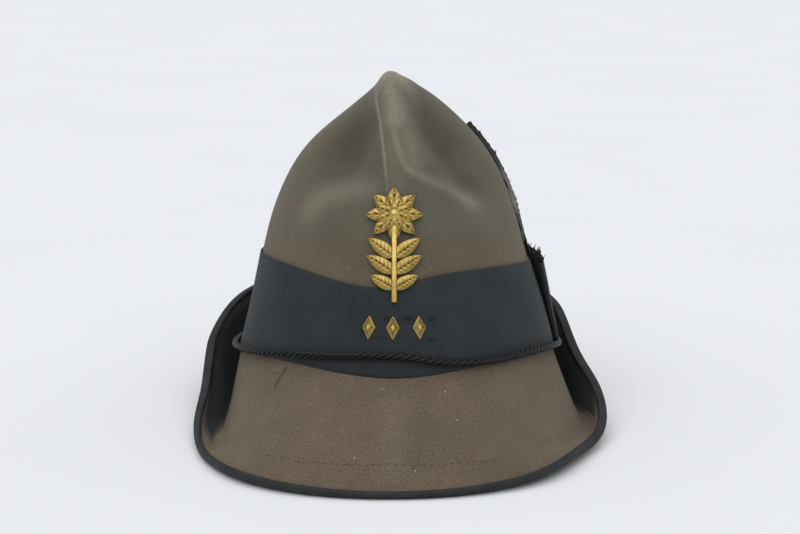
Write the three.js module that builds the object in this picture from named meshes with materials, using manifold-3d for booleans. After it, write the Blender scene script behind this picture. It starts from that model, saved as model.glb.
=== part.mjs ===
// Alpine cap: a felt crown and brim with cloth band, loop, cord, binding, facing, feather and brass badge.
// Millimetres, +Z up. The front faces -Y and azimuth runs from the front towards +X, the wearer's left.
import * as THREE from "three";
import { mergeVertices } from "three/addons/utils/BufferGeometryUtils.js";
import Module from "manifold-3d";

const wasm = await Module();
wasm.setup();

// Wall thicknesses and the clear space between a piece and its seat
const FELT_WALL = 2.2;
const BAND_WALL = 1.0;
const BINDING_WALL = 0.8;
const FACING_WALL = 0.8;
const GAP = 0.35;
const BINDING_GAP = 0.5;

// Resolution of the felt: columns round the cap, closer together at the front, and rows down each column
const COLUMNS = 60;
const FRONT_CROWDING = 0.35;
const CROWN_ROWS = 15;
const FLARE_ROWS = 3;
const ROLL_ROWS = 5;
const FLAP_ROWS = 3;

// Seam between crown and brim: half width and half length
const SEAM_HALF_WIDTH = 81;
const SEAM_HALF_LENGTH = 97;

// Level sections of the crown from above the seam to below the tip
// tilt: rise per millimetre towards the front, shift: sideways lean, front, mid and back: places along Y of
// the foremost, widest and rearmost points, point: how pointed the front half is
const CROWN_SECTIONS = [
  { z: 50, tilt: 0.08, shift: 0.3, halfWidth: 76.9, front: -92.5, mid: 0, back: 93.5, point: 1.0 },
  { z: 69, tilt: 0.06, shift: -0.5, halfWidth: 71.7, front: -86.5, mid: 0, back: 88, point: 1.0 },
  { z: 85, tilt: 0.04, shift: -1.7, halfWidth: 67.2, front: -81, mid: 0, back: 83.5, point: 1.0 },
  { z: 100, tilt: 0.02, shift: -1.7, halfWidth: 64, front: -75.5, mid: 0, back: 79.5, point: 1.0 },
  { z: 115, tilt: 0, shift: -1.8, halfWidth: 59.2, front: -69.5, mid: 0, back: 75, point: 1.02 },
  { z: 130, tilt: 0, shift: -1.3, halfWidth: 52.2, front: -62.5, mid: 0, back: 69, point: 1.06 },
  { z: 143, tilt: 0, shift: -0.8, halfWidth: 43, front: -56.5, mid: -1, back: 60, point: 1.1 },
  { z: 155, tilt: 0, shift: 0.8, halfWidth: 30.2, front: -51, mid: -4, back: 47, point: 1.1 },
  { z: 166, tilt: 0, shift: 1.4, halfWidth: 17.5, front: -46, mid: -13, back: 26, point: 1.05 },
  { z: 173.5, tilt: 0, shift: -0.2, halfWidth: 8.8, front: -42, mid: -23, back: 2, point: 1.0 },
  { z: 177.6, tilt: 0, shift: -2.2, halfWidth: 4, front: -38.5, mid: -30, back: -19, point: 1.0 },
];
const TIP = new THREE.Vector3(-2.4, -31, 178.8);

// Dents pressed beside the front ridge and the soft lips below them, as seen from the front
// slant: direction of the long axis in degrees, long: half length, low and high: half widths below and above
// the axis, depth: how far pressed in
const DENTS = [
  { x: -21, z: 142, slant: 58, long: 32, low: 9, high: 17, depth: 9 },
  { x: 27, z: 142, slant: -50, long: 33, low: 10, high: 16, depth: 10 },
  { x: -30, z: 115, slant: 15, long: 24, low: 9, high: 9, depth: -1.5 },
  { x: 27, z: 119, slant: -38, long: 26, low: 9, high: 8, depth: -2.5 },
];
// Distance in front of the cap's middle over which the dents reach their full depth
const DENT_FADE = 45;
// Ridge between the dents: its line from top to foot, half width, height and share down at which it fades
const RIDGE = { topX: -6.8, topZ: 176, footX: 1, footZ: 120, halfWidth: 5.2, height: 3.4, fade: 0.7 };

// Brim sections by azimuth in degrees
// seam: height of the seam, drop and lift: slope in degrees before and after the roll,
// flare: length before the roll, roll: length of the roll, width: whole width of the felt
const BRIM_SECTIONS = [
  { azimuth: -180, seam: 25, drop: -52, lift: 70, flare: 11, roll: 14, width: 61 },
  { azimuth: -150, seam: 26, drop: -56, lift: 73, flare: 12, roll: 13, width: 62 },
  { azimuth: -120, seam: 28.8, drop: -66, lift: 80, flare: 19, roll: 12, width: 66 },
  { azimuth: -105, seam: 31, drop: -73, lift: 77.5, flare: 28.7, roll: 11, width: 69.5 },
  { azimuth: -90, seam: 33, drop: -78, lift: 79, flare: 30.2, roll: 11, width: 65 },
  { azimuth: -75, seam: 36.5, drop: -76, lift: 70, flare: 34, roll: 11, width: 59 },
  { azimuth: -60, seam: 40, drop: -65, lift: 36, flare: 39, roll: 10, width: 58 },
  { azimuth: -45, seam: 43, drop: -51, lift: -4, flare: 45, roll: 8, width: 62 },
  { azimuth: -25, seam: 42.6, drop: -36.5, lift: -34, flare: 42, roll: 10, width: 67 },
  { azimuth: 0, seam: 41.5, drop: -37.5, lift: -37.5, flare: 40, roll: 10, width: 65.6 },
  { azimuth: 25, seam: 42.6, drop: -37, lift: -36, flare: 42, roll: 10, width: 64.2 },
  { azimuth: 45, seam: 43, drop: -50, lift: 8, flare: 45, roll: 8, width: 57.4 },
  { azimuth: 60, seam: 40, drop: -58, lift: 50, flare: 42, roll: 10, width: 58.2 },
  { azimuth: 75, seam: 36.5, drop: -66, lift: 79, flare: 36.2, roll: 11, width: 61 },
  { azimuth: 90, seam: 33, drop: -70, lift: 94, flare: 31.8, roll: 11, width: 63 },
  { azimuth: 105, seam: 31, drop: -70, lift: 92.5, flare: 29.6, roll: 11, width: 67.5 },
  { azimuth: 120, seam: 28.8, drop: -66, lift: 82.5, flare: 19, roll: 12, width: 64 },
  { azimuth: 150, seam: 26, drop: -56, lift: 73, flare: 12, roll: 13, width: 61 },
];

// Edges of the band and line of the cord over it: heights by azimuth
const BAND_SECTIONS = [
  { azimuth: -180, low: 27, high: 80, cord: 30 },
  { azimuth: -120, low: 30, high: 83, cord: 32.5 },
  { azimuth: -90, low: 34, high: 85.5, cord: 36 },
  { azimuth: -60, low: 41.5, high: 88, cord: 42.5 },
  { azimuth: -40, low: 44.2, high: 87.4, cord: 47 },
  { azimuth: -20, low: 42.9, high: 84, cord: 50 },
  { azimuth: -8, low: 41.8, high: 82.3, cord: 51.5 },
  { azimuth: 3, low: 41.6, high: 83.8, cord: 51 },
  { azimuth: 15, low: 42.8, high: 87, cord: 47.7 },
  { azimuth: 30, low: 44.6, high: 88, cord: 45.6 },
  { azimuth: 50, low: 44, high: 87, cord: 44.8 },
  { azimuth: 65, low: 41.5, high: 84.8, cord: 42.5 },
  { azimuth: 90, low: 34, high: 80.5, cord: 36 },
  { azimuth: 120, low: 30, high: 79, cord: 32 },
];
const BAND_ROWS = 4;
const CORD_RADIUS = 1.8;
const CORD_STEPS = 80;
const CORD_SIDES = 6;

// Binding: how far it reaches onto the felt. Facing: azimuths of its ends, rows, and distance from the edge
const BINDING_ARM = 2.8;
const FACING = { start: 48, stop: 312, rows: 2, clearOfEdge: 3.6 };

// Loop of band cloth on the wearer's left that holds the feather
// lean: inward tilt in degrees, reach: half its length, curve: radius that its back follows
const LOOP = { azimuth: 101, z: 60.5, lean: 12, reach: 31, curve: 112, height: 42, wall: 0.8, clear: 1.45 };
// Thickness of the loop along its length
const LOOP_SECTIONS = [
  { along: -1, thick: 1.8 },
  { along: -0.93, thick: 2.4 },
  { along: -0.7, thick: 2.9 },
  { along: -0.35, thick: 2.6 },
  { along: 0, thick: 2.2 },
  { along: 0.35, thick: 2.6 },
  { along: 0.7, thick: 2.9 },
  { along: 0.93, thick: 2.4 },
  { along: 1, thick: 1.8 },
];

// Feather from its tip to its quill: place on the crown, height off the felt and reach of the vane each side
const FEATHER_SECTIONS = [
  { azimuth: 97, z: 151, off: 1.7, front: 0.8, back: 0.8 },
  { azimuth: 96, z: 147.5, off: 1.6, front: 3, back: 3 },
  { azimuth: 95, z: 141, off: 1.4, front: 6, back: 7 },
  { azimuth: 94, z: 133, off: 1.3, front: 8, back: 10 },
  { azimuth: 93.5, z: 122, off: 1.3, front: 9, back: 12 },
  { azimuth: 93.5, z: 110, off: 1.4, front: 9, back: 12.5 },
  { azimuth: 94, z: 99, off: 1.6, front: 8, back: 11 },
  { azimuth: 95, z: 91, off: 2.1, front: 5, back: 7 },
  { azimuth: 96, z: 86, off: 2.6, front: 1.2, back: 1.2 },
  { azimuth: 98, z: 74, off: 2.9, front: 1, back: 1 },
];
// Shares of the reach at which the vane has a line of points, with the height of its upper and lower face
const VANE_LINES = [
  { share: -1, upper: 0.2, lower: -0.3 },
  { share: -0.5, upper: 0.5, lower: -0.5 },
  { share: 0, upper: 1.1, lower: -0.7 },
  { share: 0.5, upper: 0.5, lower: -0.5 },
  { share: 1, upper: 0.2, lower: -0.3 },
];
const VANE_CURVE = 80;

// Badge: a blossom over a sprig, in its own plane with its middle at the origin
const BADGE = { foot: 76, head: 127, bend: 56, lift: 0.5, plate: 1.0, bevel: 0.6 };
const BLOSSOM = { y: 15, petals: 8, length: 13.6, width: 7.2, inset: 1.5, eye: 3.4, eyeHeight: 3 };
const STEM = { foot: -28, head: 13, halfWidth: 1.3 };
const SPRIG = [
  { y: -6, length: 15.5, width: 6.6, turn: 52 },
  { y: -13.5, length: 15.5, width: 6.6, turn: 56 },
  { y: -21, length: 13, width: 6, turn: 60 },
];

// Small brass studs on the band below the badge: sideways place of each and their common size
const STUD_PLACES = { left: -13.6, middle: -1.8, right: 11.1 };
const STUD = { z: 64.5, width: 6.4, height: 11.5, thick: 1.8, top: 0.3 };

const shade = (name, colour, roughness, metalness) =>
  new THREE.MeshStandardMaterial({ name, color: colour, roughness, metalness });
const FELT = shade("felt", 0x6f685a, 0.95, 0);
const BAND_CLOTH = shade("band_cloth", 0x33373a, 0.8, 0);
const CORD_YARN = shade("cord_yarn", 0x2a2d31, 0.7, 0);
const RIBBON = shade("binding_ribbon", 0x3a3e41, 0.75, 0);
const FACING_CLOTH = shade("facing_cloth", 0x26292c, 0.85, 0);
const VANE = shade("feather_vane", 0x24272a, 0.7, 0);
const BRASS = shade("brass", 0xa78a4c, 0.4, 1);

// Smooth interpolation of one table column over a closed round of azimuths
function roundTable(rows, column, azimuth) {
  const turn = THREE.MathUtils.euclideanModulo(azimuth - rows[0].azimuth, 360) + rows[0].azimuth;
  const count = rows.length;
  let index = count - 1;
  while (rows[index].azimuth > turn) index -= 1;
  const at = (step) => rows[THREE.MathUtils.euclideanModulo(index + step, count)];
  const wide = THREE.MathUtils.euclideanModulo(at(1).azimuth - at(0).azimuth, 360);
  const before = THREE.MathUtils.euclideanModulo(at(0).azimuth - at(-1).azimuth, 360);
  const after = THREE.MathUtils.euclideanModulo(at(2).azimuth - at(1).azimuth, 360);
  const t = (turn - at(0).azimuth) / wide;
  const [v0, v1, v2, v3] = [-1, 0, 1, 2].map((step) => at(step)[column]);
  const m1 = ((v2 - v0) / (before + wide)) * wide;
  const m2 = ((v3 - v1) / (wide + after)) * wide;
  const t2 = t * t;
  const t3 = t2 * t;
  return (2 * t3 - 3 * t2 + 1) * v1 + (t3 - 2 * t2 + t) * m1 + (3 * t2 - 2 * t3) * v2 + (t3 - t2) * m2;
}

// Outward direction of the seam's ellipse and its point at an azimuth
function seamFrame(azimuth) {
  const angle = THREE.MathUtils.degToRad(azimuth);
  const seam = roundTable(BRIM_SECTIONS, "seam", azimuth);
  const [across, along] = [Math.sin(angle), -Math.cos(angle)];
  const point = new THREE.Vector3(SEAM_HALF_WIDTH * across, SEAM_HALF_LENGTH * along, seam);
  const outward = new THREE.Vector3(across / SEAM_HALF_WIDTH, along / SEAM_HALF_LENGTH, 0);
  return { point, outward: outward.normalize() };
}

// Inward push of the dents less the ridge's outward push at a point of the crown's front
function crownPush(point) {
  const frontness = THREE.MathUtils.smoothstep(-point.y, 0, DENT_FADE);
  let push = 0;
  for (const dent of DENTS) {
    const slant = THREE.MathUtils.degToRad(dent.slant);
    const dx = point.x - dent.x;
    const dz = point.z - dent.z;
    const along = dx * Math.cos(slant) + dz * Math.sin(slant);
    const across = dz * Math.cos(slant) - dx * Math.sin(slant);
    const wide = across < 0 ? dent.low : dent.high;
    push += dent.depth * Math.exp(-((along / dent.long) ** 2) - (across / wide) ** 2);
  }
  const down = THREE.MathUtils.clamp((RIDGE.topZ - point.z) / (RIDGE.topZ - RIDGE.footZ), 0, 1);
  const ridgeX = THREE.MathUtils.lerp(RIDGE.topX, RIDGE.footX, down);
  const fade = 1 - THREE.MathUtils.smoothstep(down, RIDGE.fade, 1);
  push -= RIDGE.height * fade * Math.exp(-(((point.x - ridgeX) / RIDGE.halfWidth) ** 2));
  return push * frontness;
}

// Middle surface of the felt down one column, from the tip over the seam to the brim's edge
function feltColumn(azimuth) {
  const angle = THREE.MathUtils.degToRad(azimuth);
  const { point: seam, outward } = seamFrame(azimuth);
  const through = [seam];
  for (const row of CROWN_SECTIONS) {
    const sine = Math.sin(angle);
    const cosine = Math.cos(angle);
    const point = cosine > 0 ? row.point : 1;
    const x = row.shift + row.halfWidth * Math.sign(sine) * Math.abs(sine) ** point;
    const y = row.mid + Math.abs(cosine) * ((cosine > 0 ? row.front : row.back) - row.mid);
    through.push(new THREE.Vector3(x, y, row.z - row.tilt * y));
  }
  through.push(TIP);
  const crown = new THREE.CatmullRomCurve3(through, false, "centripetal");
  const points = [];
  for (let row = 0; row <= CROWN_ROWS; row += 1) {
    points.push(crown.getPoint(1 - row / CROWN_ROWS));
  }
  const [drop, lift, flare, roll, width] = ["drop", "lift", "flare", "roll", "width"].map((column) =>
    roundTable(BRIM_SECTIONS, column, azimuth),
  );
  const stretches = [
    { length: flare, rows: FLARE_ROWS, from: drop, to: drop },
    { length: roll, rows: ROLL_ROWS, from: drop, to: lift },
    { length: width - flare - roll, rows: FLAP_ROWS, from: lift, to: lift },
  ];
  const at = seam.clone();
  for (const stretch of stretches) {
    for (let row = 0; row < stretch.rows; row += 1) {
      const share = (row + 0.5) / stretch.rows;
      const slope = THREE.MathUtils.degToRad(THREE.MathUtils.lerp(stretch.from, stretch.to, share));
      const step = stretch.length / stretch.rows;
      at.addScaledVector(outward, step * Math.cos(slope));
      at.z += step * Math.sin(slope);
      points.push(at.clone());
    }
  }
  return points;
}

const azimuths = [];
for (let column = 0; column < COLUMNS; column += 1) {
  const share = (2 * Math.PI * column) / COLUMNS;
  azimuths.push(THREE.MathUtils.radToDeg(share - FRONT_CROWDING * Math.sin(share)));
}
const ROWS = CROWN_ROWS + FLARE_ROWS + ROLL_ROWS + FLAP_ROWS;
const ROLL_END = CROWN_ROWS + FLARE_ROWS + ROLL_ROWS;

// Normals of a grid of columns that closes on itself, pointing out of the crown
function gridNormals(grid) {
  const count = grid.length;
  return grid.map((column, index) =>
    column.map((point, row) => {
      const around = grid[(index + 1) % count][row].clone().sub(grid[(index + count - 1) % count][row]);
      const down = column[Math.min(row + 1, ROWS)].clone().sub(column[Math.max(row - 1, 0)]);
      return row === 0 ? new THREE.Vector3(0, 0, 1) : down.cross(around).normalize();
    }),
  );
}

// Middle surface with the dents pressed in along the normals
const plain = azimuths.map(feltColumn);
const plainNormals = gridNormals(plain);
const middle = plain.map((column, index) =>
  column.map((point, row) => {
    const push = row > 0 && row < CROWN_ROWS ? crownPush(point) : 0;
    return point.clone().addScaledVector(plainNormals[index][row], -push);
  }),
);
const normals = gridNormals(middle);

// Points of the felt raised by a height off its middle surface, and flattened where it rests
const raised = (height) =>
  middle.map((column, index) =>
    column.map((point, row) => {
      const moved = point.clone().addScaledVector(normals[index][row], height);
      moved.z = Math.max(moved.z, 0);
      return moved;
    }),
  );
const feltOuter = raised(FELT_WALL / 2);
const feltInner = raised(-FELT_WALL / 2);

// Mesh geometry from a list of triangles given as corner points
function fromTriangles(triangles) {
  const positions = new Float32Array(triangles.flat().flatMap((corner) => corner.toArray()));
  const geometry = new THREE.BufferGeometry();
  geometry.setAttribute("position", new THREE.BufferAttribute(positions, 3));
  const merged = mergeVertices(geometry, 1e-4);
  const kept = [];
  const index = merged.getIndex();
  for (let corner = 0; corner < index.count; corner += 3) {
    const [a, b, c] = [0, 1, 2].map((step) => index.getX(corner + step));
    if (a !== b && b !== c && c !== a) kept.push(a, b, c);
  }
  merged.setIndex(kept);
  merged.computeVertexNormals();
  return merged;
}

// Two triangles for the cell between two columns and two rows of a grid
function cell(grid, left, right, row, next) {
  const [a, b, c, d] = [grid[left][row], grid[right][row], grid[right][next], grid[left][next]];
  return [
    [a, c, b],
    [a, d, c],
  ];
}

// Solid wall between an outer and an inner grid of columns, closed round or open at both sides
function wallGeometry(outer, inner, closed) {
  const triangles = [];
  const count = outer.length;
  const last = outer[0].length - 1;
  const flip = (pairs) => pairs.map(([a, b, c]) => [a, c, b]);
  const rim = (row) => outer.map((column, index) => [outer[index][row], inner[index][row]]);
  const side = (index) => outer[index].map((point, row) => [inner[index][row], outer[index][row]]);
  for (let left = 0; left < (closed ? count : count - 1); left += 1) {
    const right = (left + 1) % count;
    for (let row = 0; row < last; row += 1) {
      triangles.push(...cell(outer, left, right, row, row + 1));
      triangles.push(...flip(cell(inner, left, right, row, row + 1)));
    }
    triangles.push(...flip(cell(rim(0), left, right, 0, 1)), ...cell(rim(last), left, right, 0, 1));
  }
  if (!closed) {
    for (let row = 0; row < last; row += 1) {
      triangles.push(...flip(cell(side(0), row, row + 1, 0, 1)));
      triangles.push(...cell(side(count - 1), row, row + 1, 0, 1));
    }
  }
  return fromTriangles(triangles);
}

// Solid of a closed section carried round a closed line
function ringGeometry(sections) {
  const triangles = [];
  sections.forEach((section, left) => {
    const right = (left + 1) % sections.length;
    section.forEach((point, row) => {
      triangles.push(...cell(sections, left, right, row, (row + 1) % section.length));
    });
  });
  return fromTriangles(triangles);
}

// Place on the crown's outer face at a column and a height
function onColumn(column, height) {
  let row = 1;
  while (row < CROWN_ROWS + FLARE_ROWS && feltOuter[column][row].z > height) row += 1;
  const [above, below] = [feltOuter[column][row - 1], feltOuter[column][row]];
  const share = (above.z - height) / (above.z - below.z);
  const point = above.clone().lerp(below, share);
  const normal = normals[column][row - 1].clone().lerp(normals[column][row], share).normalize();
  return { point, normal };
}

// The same at any azimuth
function onCrown(azimuth, height) {
  const turn = THREE.MathUtils.euclideanModulo(azimuth, 360);
  let right = azimuths.findIndex((value) => value > turn);
  if (right < 0) right = COLUMNS;
  const from = azimuths[right - 1];
  const to = right === COLUMNS ? 360 : azimuths[right];
  const share = (turn - from) / (to - from);
  const [a, b] = [onColumn(right - 1, height), onColumn(right % COLUMNS, height)];
  return { point: a.point.lerp(b.point, share), normal: a.normal.lerp(b.normal, share).normalize() };
}

// Band: rows of points between its two edges, lifted off the felt
const bandGrid = (height) =>
  azimuths.map((azimuth, column) => {
    const low = roundTable(BAND_SECTIONS, "low", azimuth);
    const high = roundTable(BAND_SECTIONS, "high", azimuth);
    const points = [];
    for (let row = 0; row <= BAND_ROWS; row += 1) {
      const { point, normal } = onColumn(column, THREE.MathUtils.lerp(high, low, row / BAND_ROWS));
      points.push(point.addScaledVector(normal, height));
    }
    return points;
  });
const band = wallGeometry(bandGrid(GAP + BAND_WALL), bandGrid(GAP), true);

// Cord: a tube along its line over the band
const cordSeat = GAP + BAND_WALL + GAP + CORD_RADIUS;
const cordLine = azimuths.map((azimuth) => {
  const { point, normal } = onCrown(azimuth, roundTable(BAND_SECTIONS, "cord", azimuth));
  return point.addScaledVector(normal, cordSeat);
});
const cordCurve = new THREE.CatmullRomCurve3(cordLine, true, "centripetal");
const cord = new THREE.TubeGeometry(cordCurve, CORD_STEPS, CORD_RADIUS, CORD_SIDES, true);
cord.deleteAttribute("normal");
cord.deleteAttribute("uv");

// Binding: a ribbon folded over the brim's edge, its section in the edge's own directions
const foldOuter = FELT_WALL / 2 + BINDING_GAP + BINDING_WALL;
const foldInner = FELT_WALL / 2 + BINDING_GAP;
const BINDING_SECTION = [
  { along: -BINDING_ARM, off: foldOuter },
  { along: BINDING_GAP, off: foldOuter },
  { along: BINDING_GAP + BINDING_WALL, off: foldInner },
  { along: BINDING_GAP + BINDING_WALL, off: -foldInner },
  { along: BINDING_GAP, off: -foldOuter },
  { along: -BINDING_ARM, off: -foldOuter },
  { along: -BINDING_ARM, off: -foldInner },
  { along: BINDING_GAP, off: -foldInner },
  { along: BINDING_GAP, off: foldInner },
  { along: -BINDING_ARM, off: foldInner },
];
const bindingSections = middle.map((column, index) => {
  const edge = column[ROWS];
  const along = edge.clone().sub(column[ROWS - 1]).normalize();
  const off = normals[index][ROWS];
  return BINDING_SECTION.map((corner) => {
    const point = edge.clone().addScaledVector(along, corner.along).addScaledVector(off, corner.off);
    point.z = Math.max(point.z, 0);
    return point;
  });
});
const binding = ringGeometry(bindingSections);

// Facing: cloth on the inner side of the turned-up brim, down round the roll and up to clear of the binding
function facingGrid(height) {
  const columns = [];
  for (let column = 0; column < COLUMNS; column += 1) {
    if (azimuths[column] < FACING.start || azimuths[column] > FACING.stop) continue;
    const lifted = (point, normal) => point.clone().addScaledVector(normal, FELT_WALL / 2 + height);
    const points = [];
    for (let row = CROWN_ROWS + FLARE_ROWS + 1; row < ROLL_END; row += 2) {
      points.push(lifted(middle[column][row], normals[column][row]));
    }
    const from = middle[column][ROLL_END];
    const to = middle[column][ROWS];
    const reach = 1 - FACING.clearOfEdge / from.distanceTo(to);
    for (let row = 0; row <= FACING.rows; row += 1) {
      const share = (reach * row) / FACING.rows;
      const normal = normals[column][ROLL_END].clone().lerp(normals[column][ROWS], share).normalize();
      points.push(lifted(from.clone().lerp(to, share), normal));
    }
    columns.push(points);
  }
  return columns;
}
const facing = wallGeometry(facingGrid(GAP + FACING_WALL), facingGrid(GAP), false);

// Manifold solid of a closed geometry, and back
function toSolid(geometry) {
  const bare = geometry.clone();
  bare.deleteAttribute("normal");
  bare.deleteAttribute("uv");
  const merged = mergeVertices(bare, 1e-4);
  const vertProperties = new Float32Array(merged.getAttribute("position").array);
  const corners = merged.getIndex().array;
  return new wasm.Manifold(new wasm.Mesh({ numProp: 3, vertProperties, triVerts: new Uint32Array(corners) }));
}
function toGeometry(solid) {
  const mesh = solid.getMesh();
  const geometry = new THREE.BufferGeometry();
  geometry.setAttribute("position", new THREE.BufferAttribute(new Float32Array(mesh.vertProperties), 3));
  geometry.setIndex(Array.from(mesh.triVerts));
  geometry.computeVertexNormals();
  return geometry;
}

// Loop: its outline in plan drawn out to the height of the cloth, then stood against the band
function loopOutline(inset) {
  const reach = LOOP.reach - inset;
  const bow = ({ along }) => (along * LOOP.reach) ** 2 / (2 * LOOP.curve);
  const back = (row) => new THREE.Vector2(row.along * reach, inset - bow(row));
  const fore = (row) => back(row).add(new THREE.Vector2(0, row.thick - 2 * inset));
  return [...LOOP_SECTIONS.map(back), ...LOOP_SECTIONS.map(fore).reverse()];
}
const loopShape = new THREE.Shape(loopOutline(0));
loopShape.holes.push(new THREE.Path(loopOutline(LOOP.wall)));
const loop = new THREE.ExtrudeGeometry(loopShape, { depth: LOOP.height, bevelEnabled: false });
const loopSeat = onCrown(LOOP.azimuth, LOOP.z);
const loopLean = THREE.MathUtils.degToRad(LOOP.lean);
const loopOut = loopSeat.normal.clone().setZ(0).normalize();
const loopUp = new THREE.Vector3(0, 0, Math.cos(loopLean)).addScaledVector(loopOut, -Math.sin(loopLean));
const loopAlong = new THREE.Vector3().crossVectors(new THREE.Vector3(0, 0, 1), loopOut);
const loopForth = new THREE.Vector3().crossVectors(loopAlong, loopUp);
loop.translate(0, 0, -LOOP.height / 2);
loop.applyMatrix4(new THREE.Matrix4().makeBasis(loopAlong, loopForth, loopUp.negate()));
const loopOff = GAP + BAND_WALL + GAP + LOOP.clear;
const loopAt = loopSeat.point.addScaledVector(loopSeat.normal, loopOff);
loop.translate(loopAt.x, loopAt.y, loopAt.z);

// Feather: lines of points from front to back across the vane, each from tip to quill
const featherPlaces = FEATHER_SECTIONS.map((row) => {
  const { point, normal } = onCrown(row.azimuth, row.z);
  return { point: point.addScaledVector(normal, row.off), normal };
});
const vaneGrid = (face) =>
  VANE_LINES.map((line) =>
    FEATHER_SECTIONS.map((row, index) => {
      const { point, normal } = featherPlaces[index];
      const above = featherPlaces[Math.max(index - 1, 0)].point;
      const below = featherPlaces[Math.min(index + 1, FEATHER_SECTIONS.length - 1)].point;
      const across = above.clone().sub(below).cross(normal).normalize();
      const reach = line.share * (line.share < 0 ? row.front : row.back);
      const sag = -(reach ** 2) / (2 * VANE_CURVE);
      return point.clone().addScaledVector(across, reach).addScaledVector(normal, sag + line[face]);
    }),
  );
const feather = wallGeometry(vaneGrid("upper"), vaneGrid("lower"), false);

// Badge: leaves and petals with bevelled faces joined on the stem, bent to the crown and leant against it
function leafSolid(length, width, turn, x, y) {
  const outline = [
    [0, 0],
    [width * 0.42, length * 0.22],
    [width * 0.5, length * 0.5],
    [0, length],
    [-width * 0.5, length * 0.5],
    [-width * 0.42, length * 0.22],
  ].map(([across, along]) => new THREE.Vector2(across, along));
  const { plate, bevel } = BADGE;
  const edges = { bevelThickness: bevel, bevelSize: bevel, bevelOffset: -bevel, bevelSegments: 1 };
  const leaf = new THREE.ExtrudeGeometry(new THREE.Shape(outline), { depth: plate, ...edges });
  leaf.translate(0, 0, bevel);
  leaf.rotateZ(THREE.MathUtils.degToRad(turn));
  leaf.translate(x, y, 0);
  return toSolid(leaf);
}
const stemBox = new THREE.BoxGeometry(2 * STEM.halfWidth, STEM.head - STEM.foot, BADGE.plate + BADGE.bevel);
stemBox.translate(0, (STEM.head + STEM.foot) / 2, (BADGE.plate + BADGE.bevel) / 2 + 0.1);
let badgeSolid = toSolid(stemBox);
for (const leaf of SPRIG) {
  for (const side of [-1, 1]) {
    badgeSolid = badgeSolid.add(leafSolid(leaf.length, leaf.width, side * leaf.turn, 0, leaf.y));
  }
}
for (let petal = 0; petal < BLOSSOM.petals; petal += 1) {
  const turn = (360 * petal) / BLOSSOM.petals;
  const angle = THREE.MathUtils.degToRad(turn);
  const [x, y] = [-BLOSSOM.inset * Math.sin(angle), BLOSSOM.y + BLOSSOM.inset * Math.cos(angle)];
  badgeSolid = badgeSolid.add(leafSolid(BLOSSOM.length - BLOSSOM.inset, BLOSSOM.width, turn, x, y));
}
const eye = new THREE.CylinderGeometry(BLOSSOM.eye * 0.55, BLOSSOM.eye, BLOSSOM.eyeHeight, 10);
eye.rotateX(Math.PI / 2);
eye.translate(0, BLOSSOM.y, BLOSSOM.eyeHeight / 2 + 0.2);
badgeSolid = badgeSolid.add(toSolid(eye));
const badge = toGeometry(badgeSolid);
const badgePoints = badge.getAttribute("position");
for (let index = 0; index < badgePoints.count; index += 1) {
  const angle = badgePoints.getX(index) / BADGE.bend;
  const radius = BADGE.bend + badgePoints.getZ(index);
  badgePoints.setX(index, radius * Math.sin(angle));
  badgePoints.setZ(index, radius * Math.cos(angle) - BADGE.bend);
}
const badgeFoot = onCrown(0, BADGE.foot);
const badgeHead = onCrown(0, BADGE.head);
badgeFoot.point.addScaledVector(badgeFoot.normal, GAP + BAND_WALL + BADGE.lift);
badgeHead.point.addScaledVector(badgeHead.normal, BADGE.lift);
const badgeUp = badgeHead.point.clone().sub(badgeFoot.point).setX(0).normalize();
const badgeRight = new THREE.Vector3(1, 0, 0);
const badgeOut = new THREE.Vector3().crossVectors(badgeRight, badgeUp);
badge.applyMatrix4(new THREE.Matrix4().makeBasis(badgeRight, badgeUp, badgeOut));
const badgeAt = badgeFoot.point.lerp(badgeHead.point, 0.5);
badge.translate(badgeAt.x, badgeAt.y, badgeAt.z);

// Studs: four-sided, low pointed pieces standing on the band
function studGeometry(sideways) {
  const stud = new THREE.CylinderGeometry(STUD.top, 1, 1, 4);
  stud.rotateX(Math.PI / 2);
  stud.scale(STUD.width / 2, STUD.height / 2, STUD.thick);
  stud.translate(0, 0, STUD.thick / 2);
  const azimuth = THREE.MathUtils.radToDeg(Math.asin(sideways / SEAM_HALF_WIDTH));
  const { point, normal } = onCrown(azimuth, STUD.z);
  const right = new THREE.Vector3(0, 0, 1).cross(normal).normalize();
  const up = new THREE.Vector3().crossVectors(normal, right);
  stud.applyMatrix4(new THREE.Matrix4().makeBasis(right, up, normal));
  point.addScaledVector(normal, GAP + BAND_WALL + GAP);
  stud.translate(point.x, point.y, point.z);
  return toGeometry(toSolid(stud));
}

const root = new THREE.Group();
root.name = "alpine_cap";
function addPiece(name, geometry, material) {
  const piece = new THREE.Mesh(geometry, material);
  piece.name = name;
  root.add(piece);
}
addPiece("felt_body", wallGeometry(feltOuter, feltInner, true), FELT);
addPiece("hat_band", band, BAND_CLOTH);
addPiece("twisted_cord", mergeVertices(cord, 1e-4), CORD_YARN);
addPiece("brim_binding", binding, RIBBON);
addPiece("brim_facing", facing, FACING_CLOTH);
addPiece("band_loop", toGeometry(toSolid(loop)), BAND_CLOTH);
addPiece("feather", feather, VANE);
addPiece("badge", badge, BRASS);
for (const place of Object.keys(STUD_PLACES)) {
  addPiece(`stud_${place}`, studGeometry(STUD_PLACES[place]), BRASS);
}

// The frame's origin is at the middle of the bottom of the whole cap's box
const box = new THREE.Box3().setFromObject(root);
const middlePoint = box.getCenter(new THREE.Vector3());
for (const piece of root.children) {
  piece.geometry.translate(-middlePoint.x, -middlePoint.y, -box.min.z);
}

export default root;
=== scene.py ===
# %% [markdown]
# # An alpine cap in felt, cloth, cord, feather and brass
# The cap's solids come packed in one file, in metres, with the front facing -Y and the floor at zero
# height. They have the right size and place, but flat facets and plain colours. This lesson dresses each
# of them in turn: it takes the solid as the measure of a piece, and models the piece again with the
# surface of the real material.

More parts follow.
